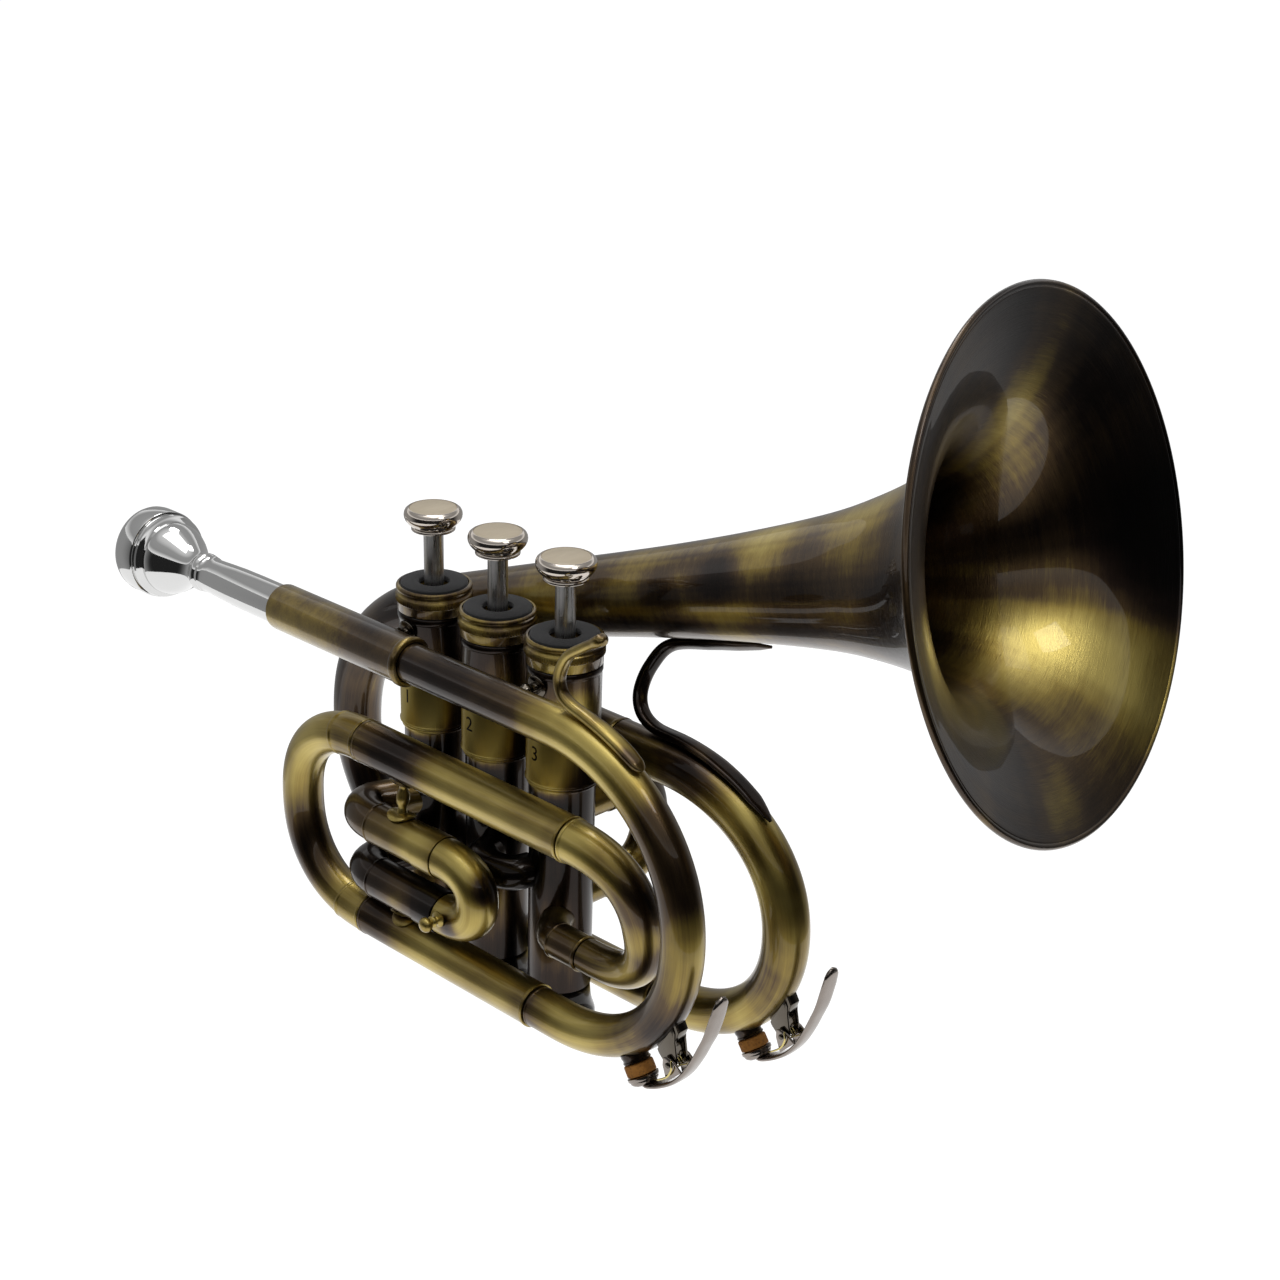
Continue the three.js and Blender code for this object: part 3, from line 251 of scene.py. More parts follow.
class Finish:
    """A material with short ways to add and join its nodes."""

    def __init__(self, name):
        self.material = bpy.data.materials.new(name)
        self.material.use_nodes = True
        self.tree = self.material.node_tree
        self.shader = self.tree.nodes["Principled BSDF"]

    def add(self, kind, inputs=None, **settings):
        made = self.tree.nodes.new("ShaderNode" + kind)
        for key, value in settings.items():
            setattr(made, key, value)
        for key, value in (inputs or {}).items():
            if isinstance(value, bpy.types.NodeSocket):
                self.tree.links.new(value, made.inputs[key])
            else:
                made.inputs[key].default_value = value
        return made.outputs[0]

    def place(self):
        return self.add("TexCoord").node.outputs["Object"]

    def lathe(self):
        return self.add("Attribute", attribute_name="lathe").node.outputs["Vector"]

    def bump(self, height, strength, distance):
        self.join(self.add("Bump", {"Strength": strength, "Distance": distance, "Height": height}), "Normal")

    def math(self, operation, first, second=0.5, third=0.0, clamp=False):
        return self.add("Math", {0: first, 1: second, 2: third}, operation=operation, use_clamp=clamp)

    def scaled(self, vector, scale):
        return self.add("VectorMath", {0: vector, 1: scale}, operation="MULTIPLY")

    def noise(self, vector, scale, detail=2.0, roughness=0.5, distortion=0.0, w=None):
        dimensions = "3D" if w is None else "4D"
        inputs = {
            "Vector": vector, "Scale": scale, "Detail": detail,
            "Roughness": roughness, "Distortion": distortion,
        }
        if w is not None:
            inputs["W"] = w
        return self.add("TexNoise", inputs, noise_dimensions=dimensions)

    def ramp(self, value, stops, interpolation="LINEAR"):
        made = self.add("ValToRGB", {"Fac": value}).node
        ramp = made.color_ramp
        ramp.interpolation = interpolation
        while len(ramp.elements) < len(stops):
            ramp.elements.new(0.5)
        for element, (position, colour) in zip(ramp.elements, stops):
            element.position = position
            element.color = (*colour, 1)
        return made.outputs["Color"]

    def range(self, value, low, high, to_low=0.0, to_high=1.0, kind="SMOOTHSTEP"):
        inputs = {"Value": value, "From Min": low, "From Max": high, "To Min": to_low, "To Max": to_high}
        return self.add("MapRange", inputs, interpolation_type=kind)

    def mix(self, share, first, second):
        return self.add("MixRGB", {"Fac": share, "Color1": first, "Color2": second})

    def join(self, value, socket):
        self.tree.links.new(value, self.shader.inputs[socket])

    def set(self, **values):
        for key, value in values.items():
            self.shader.inputs[key.replace("_", " ").title().replace("Ior", "IOR")].default_value = value


# Colours of the brass from its darkest patina and painted shade to where it is rubbed bright or carries a
# painted highlight
PATINA_AND_PAINTED_LIGHT = [
    (0.0, (0.009, 0.007, 0.006)),
    (0.28, (0.030, 0.019, 0.014)),
    (0.50, (0.095, 0.060, 0.028)),
    (0.72, (0.30, 0.215, 0.052)),
    (1.0, (0.56, 0.44, 0.125)),
]


def round_place(finish):
    """The direction from the lathe's axis, the same all along a line down the turned surface."""
    return finish.add("VectorMath", {0: finish.scaled(finish.lathe(), (1, 1, 0))}, operation="NORMALIZE")


def round_brush(finish):
    """Brush marks that run round the turned surface: slow round it, fast along it."""
    parts = finish.add("SeparateXYZ", {0: finish.lathe()}).node.outputs
    flat = finish.add("CombineXYZ", {0: parts[0], 1: parts[1]})
    radius = finish.add("VectorMath", {0: flat}, operation="LENGTH").node.outputs["Value"]
    across = finish.math("ADD", radius, parts[2])
    slow = finish.scaled(round_place(finish), (0.004, 0.004, 0))
    fast = finish.add("CombineXYZ", {2: across})
    return finish.add("VectorMath", {0: slow, 1: fast}, operation="ADD")


def long_brush(finish):
    """Brush marks that run along the turned surface."""
    return finish.scaled(finish.lathe(), (1, 1, 0.04))


FINE_STREAKS = 0.08


def antique_brass(
    name, lightness=0.0, seed=0.0, patina_and_light_spots=(), cloud=30.0, patches=0.45,
    brush=long_brush, streaks=0.22, grain=0.12, coat=0.55, rays=0.0,
):
    """Brass darkened by patina and rubbed bright again, brushed, under clear lacquer.
    Spots are (place in mm, reach in mm, lift) that make the brass brighter or darker there: painted
    highlights and painted shade, laid in with patches of patina and wear. Rays paint a fan of highlight and
    shade that spreads from the axis of a turned piece."""
    finish = Finish(name)
    place = finish.place()
    brushed = brush(finish)
    clouds = finish.noise(place, cloud, 3.0, 0.55, 0.4, seed)
    strokes = finish.noise(brushed, 420.0, 3.0, 0.6, 0.0, seed)
    fine = finish.noise(brushed, 2600.0, 2.0, 0.6, 0.0, seed)
    bright = finish.range(clouds, 0.30, 0.72, 0.5 - patches, 0.5 + patches, "LINEAR")
    bright = finish.math("ADD", bright, lightness)
    # The spots paint highlights and shade, with patches of patina and wear, round their places
    for spot, reach, lift in patina_and_light_spots:
        centre = [part * MM for part in spot]
        away = finish.add("VectorMath", {0: place, 1: centre}, operation="DISTANCE").node.outputs["Value"]
        near = finish.range(away, reach * MM, 0.0, 0.0, lift)
        bright = finish.math("ADD", bright, near)
    # The rays paint a fan of highlight and shade round the turned piece's axis
    if rays:
        highlight_fan = finish.noise(round_place(finish), 2.4, 2.0, 0.5, 0.0, seed)
        bright = finish.math("ADD", bright, finish.range(highlight_fan, 0.35, 0.65, -rays, rays))
    streaked = finish.math("MULTIPLY_ADD", strokes, streaks * 2, finish.math("SUBTRACT", bright, streaks))
    base = finish.math("SUBTRACT", streaked, FINE_STREAKS)
    streaked = finish.math("MULTIPLY_ADD", fine, FINE_STREAKS * 2, base, clamp=True)
    finish.join(finish.ramp(streaked, PATINA_AND_PAINTED_LIGHT), "Base Color")
    finish.join(finish.range(streaked, 0.0, 1.0, 0.30, 0.38, "LINEAR"), "Roughness")
    finish.bump(fine, grain, 0.0002)
    finish.set(metallic=1.0, coat_weight=coat, coat_roughness=0.03, coat_ior=1.45)
    return finish.material


def plated(name, colour, roughness, wear, scale=90.0):
    """Bright plating with faint haze and finger marks in its gloss."""
    finish = Finish(name)
    place = finish.place()
    haze = finish.noise(place, scale, 4.0, 0.6)
    dark = tuple(part * (1 - wear) for part in colour)
    finish.join(finish.mix(haze, (*dark, 1), (*colour, 1)), "Base Color")
    finish.join(finish.range(haze, 0.3, 0.7, roughness * 0.7, roughness * 1.5, "LINEAR"), "Roughness")
    finish.set(metallic=1.0)
    return finish.material


def ground_steel(name):
    """Steel ground lengthwise, as on a valve stem."""
    finish = Finish(name)
    lines = finish.noise(finish.scaled(finish.lathe(), (1, 1, 0.03)), 2400.0, 3.0, 0.6)
    finish.join(finish.mix(lines, (0.38, 0.375, 0.37, 1), (0.86, 0.85, 0.84, 1)), "Base Color")
    finish.join(finish.range(lines, 0.3, 0.7, 0.22, 0.38, "LINEAR"), "Roughness")
    finish.bump(lines, 0.2, 0.0001)
    finish.set(metallic=1.0)
    return finish.material


def pressed_felt(name):
    """Black felt with fine fibres."""
    finish = Finish(name)
    place = finish.place()
    fibres = finish.noise(place, 2200.0, 5.0, 0.7, 1.5)
    finish.join(finish.mix(fibres, (0.006, 0.006, 0.007, 1), (0.028, 0.028, 0.030, 1)), "Base Color")
    finish.bump(fibres, 0.7, 0.0003)
    finish.set(roughness=0.9, sheen_weight=0.15)
    return finish.material


def natural_cork(name):
    """Warm cork with dark edges between its grains."""
    finish = Finish(name)
    place = finish.place()
    grains = finish.add("TexVoronoi", {"Vector": place, "Scale": 1100.0})
    flecks = finish.noise(place, 700.0, 4.0, 0.6)
    warm = finish.mix(flecks, (0.34, 0.12, 0.018, 1), (0.62, 0.28, 0.05, 1))
    edges = finish.range(grains, 0.1, 0.5, 0.35, 0.0)
    finish.join(finish.mix(edges, warm, (0.06, 0.025, 0.008, 1)), "Base Color")
    finish.bump(grains, 0.6, 0.0003)
    finish.set(roughness=0.8)
    return finish.material


def pearl_inlay(name):
    """Smooth cream inlay with faint pearl bands."""
    finish = Finish(name)
    place = finish.place()
    bands = finish.noise(finish.scaled(place, (1, 0.3, 1)), 320.0, 3.0, 0.5, 1.2)
    finish.join(finish.mix(bands, (0.44, 0.36, 0.25, 1), (0.56, 0.48, 0.35, 1)), "Base Color")
    finish.set(roughness=0.45, coat_weight=0.12, coat_roughness=0.1)
    return finish.material


silver = plated("silver_plate", (0.68, 0.68, 0.675), 0.06, 0.05)
nickel = plated("bright_nickel", (0.62, 0.56, 0.50), 0.09, 0.12)
key_nickel = plated("key_nickel", (0.33, 0.29, 0.26), 0.16, 0.35, scale=160.0)
# Nickel given a dark colour, for the leadpipe posts and the key saddles
dark_nickel = plated("dark_nickel", (0.16, 0.14, 0.115), 0.12, 0.5)
steel = ground_steel("ground_steel")
felt_finish = pressed_felt("black_felt")
cork_finish = natural_cork("water_key_cork")
inlay_finish = pearl_inlay("button_inlay")
brass_tube = antique_brass("antique_brass_tubes", 0.05, 1.7)
brass_ring = antique_brass("antique_brass_rings", 0.12, 4.2, cloud=60.0, patches=0.35)
dark_brass = antique_brass("dark_patina_brass", -0.45, 7.1, patches=0.2)


# Valves

VALVE_SPACING = 26.3
VALVES = {number: (number - 2) * VALVE_SPACING for number in (1, 2, 3)}
CAP_FOOT = 47.1
CAP_TOP = 54.4
KNURLS = 180
KNURL_RADIUS = 11.0
KNURL_GROOVE = 0.975
CASING_RADIUS = 9.2
BALUSTER_RADIUS = 10.2


def casing_brass(number, x):
    """Painted shade below the baluster ring, and painted highlights on the baluster where the number is
    stamped and low on the casing, over the patina.
    """
    # Spots: painted highlights on the baluster and low on the casing, and painted shade just below the
    # baluster ring
    patina_and_light_spots = [
        ((x - 1, -9, 20), 18, 1.7), ((x + 9, -4, 34), 16, 0.3 * number), ((x - 1, -9, 2), 14, -1.3),
        ((x + 3, -8, -34), 20, 0.45),
    ]
    return antique_brass(
        f"casing_{number}_brass", -0.38, 2.3 * number, patina_and_light_spots, patches=0.15, streaks=0.2, coat=0.35,
    )


casing_finishes = {number: casing_brass(number, x) for number, x in VALVES.items()}
casing_profile = [
    (CASING_BORE, -52), (9.05, -52), (CASING_RADIUS, -51.85), (CASING_RADIUS, 11.6), (9.5, 11.7),
    (9.85, 11.9), (9.95, 12.25), (9.8, 12.55), (9.75, 12.7), (10.0, 12.85), (10.45, 13.2), (10.5, 13.5),
    (10.35, 13.8), (BALUSTER_RADIUS, 14.0), (BALUSTER_RADIUS, 44.6), (10.3, 44.8), (10.45, 45.1),
    (10.45, 46.3), (10.3, 46.6), (BALUSTER_RADIUS, 46.8), (9.6, 46.8), (9.6, 51.05), (9.45, 51.2),
    (CASING_BORE, 51.2),
]


def knuckle_path(side, away, height, bulge=14):
    """The bulge of a short tube from the middle casing to its neighbour on one side."""
    half = VALVE_SPACING / 2
    line = [(0.4, 0.55), (0.55, 0.86), (1, 1), (1.45, 0.86), (1.6, 0.5)]
    return smooth_line([(side * along * half, away * out * bulge, height) for along, out in line], 12)


def smooth_line(points, steps):
    """A smooth line through points, as dense points."""
    line = [Vector(point) for point in points]
    first = line[0] * 2 - line[1]
    last = line[-1] * 2 - line[-2]
    held = [first, *line, last]
    dense = []
    for i in range(1, len(held) - 2):
        before, start, end, after = held[i - 1:i + 3]
        for k in range(steps):
            t = k / steps
            dense.append(0.5 * (
                2 * start + (end - before) * t + (2 * before - 5 * start + 4 * end - after) * t ** 2
                + (3 * start - before - 3 * end + after) * t ** 3
            ))
    return [*dense, line[-1]]


for number, x in VALVES.items():
    body = turned(f"casing_{number}_tube", casing_profile, 96, (x, 0, 0))
    if number == 2:
        knuckles = []
        for side, away, height in ((-1, 1, -28.8), (1, -1, -16)):
            knuckle = tube("knuckle", knuckle_path(side, away, height), 5, spacing=1.0)
            knuckles.append(bored(bored(knuckle, 0), side * VALVE_SPACING, CASING_BORE + 0.5))
        body = join([body, *knuckles])
    hand_over(body, casing_finishes[number], "antique_brass", "root", f"valve_casing_{number}")


def stamped_number(
    number, x, size=6.0, thick=0.24, height=22.2, radius=BALUSTER_RADIUS, faces=-94, sunk=0.08,
):
    """The valve's number, bent round its casing on the side that the player's right hand faces."""
    deselect()
    bpy.ops.object.text_add(location=(0, 0, 0))
    figure = bpy.context.object
    figure.name = f"valve_number_{number}"
    figure.data.body = str(number)
    figure.data.size = size * MM
    figure.data.extrude = thick / 2 * MM
    figure.data.align_x = "CENTER"
    figure.data.align_y = "CENTER"
    bpy.ops.object.convert(target="MESH")
    bpy.ops.object.mode_set(mode="EDIT")
    select_mesh()
    bpy.ops.mesh.subdivide(number_cuts=4)
    bpy.ops.object.mode_set(mode="OBJECT")
    apply_place(figure)
    for point in figure.data.vertices:
        angle = math.radians(faces) + point.co.x / MM / radius
        out = radius + point.co.z / MM - sunk
        point.co = Vector((x + out * math.cos(angle), out * math.sin(angle), height + point.co.y / MM)) * MM
    return figure


stamp_finish = plated("stamped_line", (0.035, 0.026, 0.018), 0.4, 0.3)
for number, x in VALVES.items():
    figure = stamped_number(number, x)
    note_lathe(figure)
    hand_over(figure, stamp_finish, "dark_brass", "root")


def top_cap(number, x):
    """A cap with a ring of fine knurls, made by drawing in every other edge of that ring to a groove."""
    def at(share):
        return CAP_FOOT + share * (CAP_TOP - CAP_FOOT)

    profile = [
        (9.9, CAP_FOOT), (10.35, CAP_FOOT), (10.5, CAP_FOOT + 0.15), (10.5, at(0.33)), (10.6, at(0.36)),
        (KNURL_RADIUS, at(0.39)), (KNURL_RADIUS, at(0.62)), (10.6, at(0.66)), (10.35, at(0.69)),
        (10.3, at(0.78)), (10.55, at(0.81)), (10.8, at(0.85)), (10.8, at(0.93)), (10.6, at(0.98)),
        (10.3, CAP_TOP), (9.9, CAP_TOP), (9.8, 54.25), (9.8, 53.4), (4.2, 53.4), (4.2, 51.5),
        (9.9, 51.5),
    ]
    cap = turn(f"top_cap_{number}_knurled", profile, KNURLS)
    bpy.ops.object.mode_set(mode="EDIT")
    select_mesh(False)
    bpy.ops.object.mode_set(mode="OBJECT")
    for point in cap.data.vertices:
        radius = math.hypot(point.co.x, point.co.y) / MM
        column = round(math.atan2(point.co.y, point.co.x) / (2 * math.pi) * KNURLS)
        point.select = abs(radius - KNURL_RADIUS) < 0.02 and column % 2 == 0
    bpy.ops.object.mode_set(mode="EDIT")
    bpy.ops.transform.resize(value=(KNURL_GROOVE, KNURL_GROOVE, 1), center_override=(0, 0, 0))
    bpy.ops.object.mode_set(mode="OBJECT")
    return stand(cap, (x, 0, 0))


for number, x in VALVES.items():
    cap = top_cap(number, x)
    hand_over(cap, brass_ring, "antique_brass", "root", f"top_cap_{number}", degrees=50)

felt_profile = [
    (4.3, 53.7), (9.3, 53.7), (9.5, 53.9), (9.5, 54.6), (9.4, 54.85), (9.1, 55), (4.9, 55), (4.5, 54.9),
    (4.3, 54.6),
]
bottom_cap_profile = [
    (7.4, -48.4), (8.2, -48.4), (8.2, -52.3), (8.7, -52.3), (8.85, -52.6), (9.0, -54), (9.25, -56.5),
    (9.6, -58.8), (10.2, -60.7), (10.5, -61.6), (10.6, -62.2), (10.6, -62.6), (10.4, -62.85),
    (10.1, -63), (6.5, -63), (6.2, -62.6), (2.2, -62.6), (1.8, -62.9), (1.5, -62.9), (1.5, -61),
    (7.4, -61),
]
for number, x in VALVES.items():
    washer = turned(f"felt_washer_{number}_pressed", felt_profile, 72, (x, 0, 0))
    hand_over(washer, felt_finish, "felt", "root", f"felt_washer_{number}")
    bottom_cap = turned(f"bottom_cap_{number}_turned", bottom_cap_profile, 96, (x, 0, 0))
    hand_over(bottom_cap, dark_brass, "dark_brass", "root", f"bottom_cap_{number}")

piston_profile = [
    (0, -33.5), (7.9, -33.5), (8.2, -33.2), (8.2, 50.9), (7.9, 51.2), (3.9, 51.2), (3.9, 51.3),
    (2.8, 51.35), (2.8, 69.35), (2.6, 69.6), (1.5, 69.6), (1.5, 72.9), (0, 72.9),
]
button_profile = [
    (1.8, 69.9), (5.9, 69.9), (6.15, 70.05), (6.2, 70.35), (6.1, 70.7), (5.95, 70.85), (6.1, 71.05),
    (6.6, 71.5), (7.2, 72.1), (7.75, 72.8), (8.1, 73.6), (8.2, 74.3), (8.1, 75.0), (7.8, 75.6),
    (7.35, 76.0), (6.95, 76.2), (6.7, 76.2), (6.65, 75.9), (0, 75.9), (0, 73.2), (1.8, 73.2),
]
inlay_profile = [(0, 75.9), (6.6, 75.9), (6.6, 76.1), (6.4, 76.22), (0, 76.3)]


def piston_spring(number, x, wire=0.45, turns=9, steps=24):
    """A coil as long as the CAD's spring, wound from its foot to its head."""
    low, high = (Vector(corner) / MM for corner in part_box(f"piston_spring_{number}"))
    radius = (high.x - low.x) / 2 - wire
    foot, head = low.z + wire, high.z - wire
    line = []
    for i in range(turns * steps + 1):
        share = i / (turns * steps)
        angle = share * turns * 2 * math.pi
        line.append((x + radius * math.cos(angle), radius * math.sin(angle), foot + (head - foot) * share))
    spring = tube(f"piston_spring_{number}_wire", line, wire, wall=wire - 0.02, spacing=1.2, sides=10)
    hand_over(spring, steel, "steel", "root", f"piston_spring_{number}")
    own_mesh(spring)


for number, x in VALVES.items():
    valve = f"valve_{number}"
    piston = turned(f"piston_{number}_ground", piston_profile, 64, (x, 0, 0))
    hand_over(piston, steel, "steel", valve, f"piston_{number}")
    button = turned(f"finger_button_{number}_plated", button_profile, 96, (x, 0, 0))
    hand_over(button, nickel, "nickel", valve, f"finger_button_{number}")
    inlay = turned(f"button_inlay_{number}", inlay_profile, 72, (x, 0, 0))
    hand_over(inlay, inlay_finish, "nickel", valve)
    piston_spring(number, x)


# Mouthpiece, receiver and leadpipe

# The plane of the near tubes, and the heights of the leadpipe and of the main tuning slide's two legs
NEAR = -24
LEADPIPE = 42.3
UPPER = 12
LOWER = -44.3

# Where the mouthpiece and its receiver start, along the leadpipe
MOUTHPIECE_RIM = -133
RECEIVER_START = -65

mouthpiece_profile = [
    (10.3, 0.0), (11.2, 0.05), (12.1, 0.4), (12.75, 1.0), (13.15, 1.9), (13.3, 2.9), (13.3, 9.0),
    (13.15, 9.35), (12.8, 9.5), (12.3, 9.55), (12.1, 9.8), (12.15, 10.2), (12.6, 10.45), (12.75, 10.9),
    (12.6, 11.6), (12.0, 12.0), (11.2, 12.3), (10.9, 12.6), (11.05, 13.2), (10.95, 14.4), (10.5, 16.0),
    (9.7, 17.8), (8.7, 19.6), (7.6, 21.4), (6.6, 23.2), (5.85, 25.0), (5.45, 26.6), (5.35, 27.6),
    (5.4, 28.5), (5.55, 28.9), (5.75, 29.4), (5.8, 30.0), (5.75, 30.6), (5.5, 31.0), (5.3, 31.3),
    (5.3, 31.7), (5.5, 32.0), (5.5, 32.5), (5.25, 32.9), (5.15, 34.0), (5.2, 36.0), (5.45, 41.0),
    (5.7, 47.0), (5.8, 56.0), (5.8, 66.0), (5.7, 70.0), (5.15, 87.3), (5.0, 87.5), (4.3, 87.5),
    (2.1, 31), (1.9, 26), (1.95, 23), (2.8, 20.5), (4.2, 18), (5.9, 14.0), (7.2, 10.0), (8.0, 6.0),
    (8.5, 3.0), (8.9, 1.3), (9.5, 0.4),
]
mouthpiece = turned("mouthpiece_turned", mouthpiece_profile, 128, (MOUTHPIECE_RIM, NEAR, LEADPIPE), FORWARD)
hand_over(mouthpiece, silver, "silver_plate", "mouthpiece_body", "mouthpiece", degrees=30)

receiver_profile = [
    (6.15, 0), (6.45, 0), (6.68, 0.15), (6.75, 0.5), (6.75, 54.0), (6.8, 54.3), (7.0, 54.5),
    (7.13, 54.9), (7.15, 55.5), (7.1, 56.0), (6.9, 56.35), (6.4, 56.6), (5.75, 56.6), (5.75, 24.7),
    (6.15, 24.7),
]
receiver_brass = antique_brass("receiver_brass", 0.12, 3.1, [
    ((-62, -26, 40), 18, 0.2), ((-22, -24, 48), 22, -0.35), ((-8, -24, 42), 5, 0.3),
], patches=0.15, brush=round_brush, streaks=0.14)
receiver = turned("receiver_tube", receiver_profile, 96, (RECEIVER_START, NEAR, LEADPIPE), FORWARD)
hand_over(receiver, receiver_brass, "antique_brass", "root", "mouthpiece_receiver")


def bow_path(top_x, bottom_x, top, bottom, reach, power, y, end_y=None, steps=140):
    """Half of a superellipse in an upright plane, from its top leg round to its bottom leg.
    It may lean from one plane to another on the way."""
    end_y = y if end_y is None else end_y
    middle, half = (top + bottom) / 2, (top - bottom) / 2
    path = []
    for i in range(steps + 1):
        angle = math.pi * (i / steps - 0.5)
        across = abs(math.cos(angle)) ** (2 / power)
        fall = math.copysign(abs(math.sin(angle)) ** (2 / power), math.sin(angle))
        share = (1 + fall) / 2
        x = top_x + (bottom_x - top_x) * share + reach * across
        path.append((x, y + (end_y - y) * share, middle - half * fall))
    return path


def near_bow(steps=140):
    return bow_path(47, 51.6, LEADPIPE, LOWER, reach=45.2, power=2.07, y=NEAR, steps=steps)


leadpipe_path = [(-40, NEAR, LEADPIPE), *near_bow(), (42.5, NEAR, LOWER)]
leadpipe_length = length_of(leadpipe_path)
# The spots paint highlights on the top and bottom of the near bow and shade on its outer side, with patina
# patches
leadpipe_brass = antique_brass("leadpipe_brass", -0.02, 5.3, [
    ((8, -26, 40), 34, -0.25), ((66, -26, 44), 32, 0.6), ((98, -28, 22), 14, -0.15),
    ((100, -20, 4), 16, 0.3), ((96, -26, -6), 18, 0.3), ((92, -20, -32), 20, -0.35),
    ((58, -27, -43), 26, 0.6),
], patches=0.25)
leadpipe = tube(
    "leadpipe_and_near_bow", leadpipe_path, [(0, 5.45), (leadpipe_length, 5.9)],
    rings=[(leadpipe_length - 0.5, 0.9, 0.12)],
)
hand_over(leadpipe, leadpipe_brass, "antique_brass", "root", "leadpipe")


# Main tuning slide and its sleeves

SLEEVE_BACK = -28.6
SLEEVE_RADIUS, SLEEVE_RIM, SLEEVE_BORE = 6.35, 6.5, 5.65


def sleeve(name, length, at):
    """A straight outer sleeve with a raised rim at each end."""
    rim = [
        (0, SLEEVE_BORE), (0, SLEEVE_RIM - 0.15), (0.15, SLEEVE_RIM), (0.9, SLEEVE_RIM),
        (1.05, SLEEVE_RIM - 0.12), (1.15, SLEEVE_RADIUS),
    ]
    profile = [(size, place) for place, size in both_ends(rim, length)]
    return turned(name, profile, 72, at, FORWARD)


# The spots paint shade on the back of the upper sleeve and on the lower sleeve, and make the sleeves darker
# at their front ends
sleeve_brass = antique_brass("tuning_sleeve_brass", 0.4, 6.4, [
    ((-14, -28, 14), 26, -0.75), ((-20, -28, -42), 24, -0.6), ((52, -28, 12), 8, -0.2),
    ((40, -28, -44), 8, -0.15),
], patches=0.2)
for name, height, front in (("upper", UPPER, 54), ("lower", LOWER, 42.2)):
    outer = sleeve(f"tuning_{name}_outer_sleeve", front - SLEEVE_BACK, (SLEEVE_BACK, NEAR, height))
    hand_over(outer, sleeve_brass, "antique_brass", "root", f"tuning_{name}_sleeve")

# Each leg of the slide is plain inside its sleeve, then has a ferrule, and the bow is a little thinner
LEG_FRONT, BOW_BACK = 30, SLEEVE_BACK - 1
LEG_RADIUS, FERRULE_RADIUS, TUNING_BOW_RADIUS = 5.35, 6.35, 6.15
tuning_bow = bow_path(BOW_BACK, BOW_BACK, UPPER, LOWER, reach=-30.4, power=2.3, y=NEAR)
tuning_path = [(LEG_FRONT, NEAR, UPPER), *tuning_bow, (LEG_FRONT, NEAR, LOWER)]
tuning_length = length_of(tuning_path)
leg = 58.9
ferrule = leg + 10.6
tuning_marks = [
    (0, LEG_RADIUS), (leg - 0.01, LEG_RADIUS), (leg, FERRULE_RADIUS), (ferrule, FERRULE_RADIUS),
    (ferrule + 0.2, TUNING_BOW_RADIUS),
]
ferrule_rings = [(leg + 0.6, 1.0, 0.15), (ferrule - 0.6, 1.1, 0.12)]
# The spots paint a highlight on the bow's upper side and shade on its lower side, with smaller brighter and
# darker marks near the ferrules
slide_brass = antique_brass("tuning_slide_brass", 0.2, 8.8, [
    ((-50, -24, 10), 18, 0.3), ((-58, -28, -34), 22, -0.35), ((-30, -26, -44), 8, 0.3),
    ((-28, -24, 12), 5, -0.3),
], patches=0.2)
tuning_slide = tube(
    "main_tuning_slide_bow", tuning_path, both_ends(tuning_marks, tuning_length),
    rings=both_ends(ferrule_rings, tuning_length),
)
hand_over(tuning_slide, slide_brass, "antique_brass", "tuning_slide", "main_tuning_slide")


# Small bow and knuckle into the third valve

THIRD_Y, THIRD_Z = NEAR + 9.8, -28
small_bow = bow_path(54.35, 53.4, UPPER, THIRD_Z, reach=22.6, power=2.45, y=NEAR, end_y=THIRD_Y)
third_bow_path = [(54.3, NEAR, UPPER), *small_bow, (51.05, THIRD_Y, THIRD_Z)]
third_length = length_of(third_bow_path)
# The spots paint a highlight where the small bow leaves the upper sleeve and shade on its outer side
third_bow_brass = antique_brass("third_bow_brass", 0.2, 9.4, [
    ((58, -28, 14), 12, 0.35), ((80, -20, 4), 16, -0.45), ((72, -20, -26), 14, 0.1),
    ((82, -18, -16), 10, -0.3),
], patches=0.2)
third_bow = tube(
    "third_valve_small_bow", third_bow_path, [(0, 6.1), (third_length, 4.9)], rings=[(0.6, 1.0, 0.25)],
)
hand_over(third_bow, third_bow_brass, "antique_brass", "root", "third_valve_bow")


def elbow(start, corner, end, steps=24):
    """A quarter bend: a curve with one corner point."""
    start, corner, end = Vector(start), Vector(corner), Vector(end)
    return [start.lerp(corner, t).lerp(corner.lerp(end, t), t) for t in (i / steps for i in range(steps + 1))]


bend_start, bend_corner, bend_end = (39.65, THIRD_Y, THIRD_Z), (35.6, THIRD_Y, THIRD_Z), (30.4, -4.1, THIRD_Z)
knuckle_line = [(50.75, THIRD_Y, THIRD_Z), *elbow(bend_start, bend_corner, bend_end)]
third_knuckle = tube(
    "third_valve_knuckle_tube", knuckle_line,
    [(0, 5.15), (11.05, 5.15), (11.2, 4.7), (length_of(knuckle_line), 4.7)],
    wall=0.6, rings=[(0.6, 1.0, 0.2), (10.5, 1.0, 0.2)],
)
hand_over(bored(third_knuckle, VALVES[3]), brass_tube, "antique_brass", "root", "third_valve_knuckle")


# First valve slide

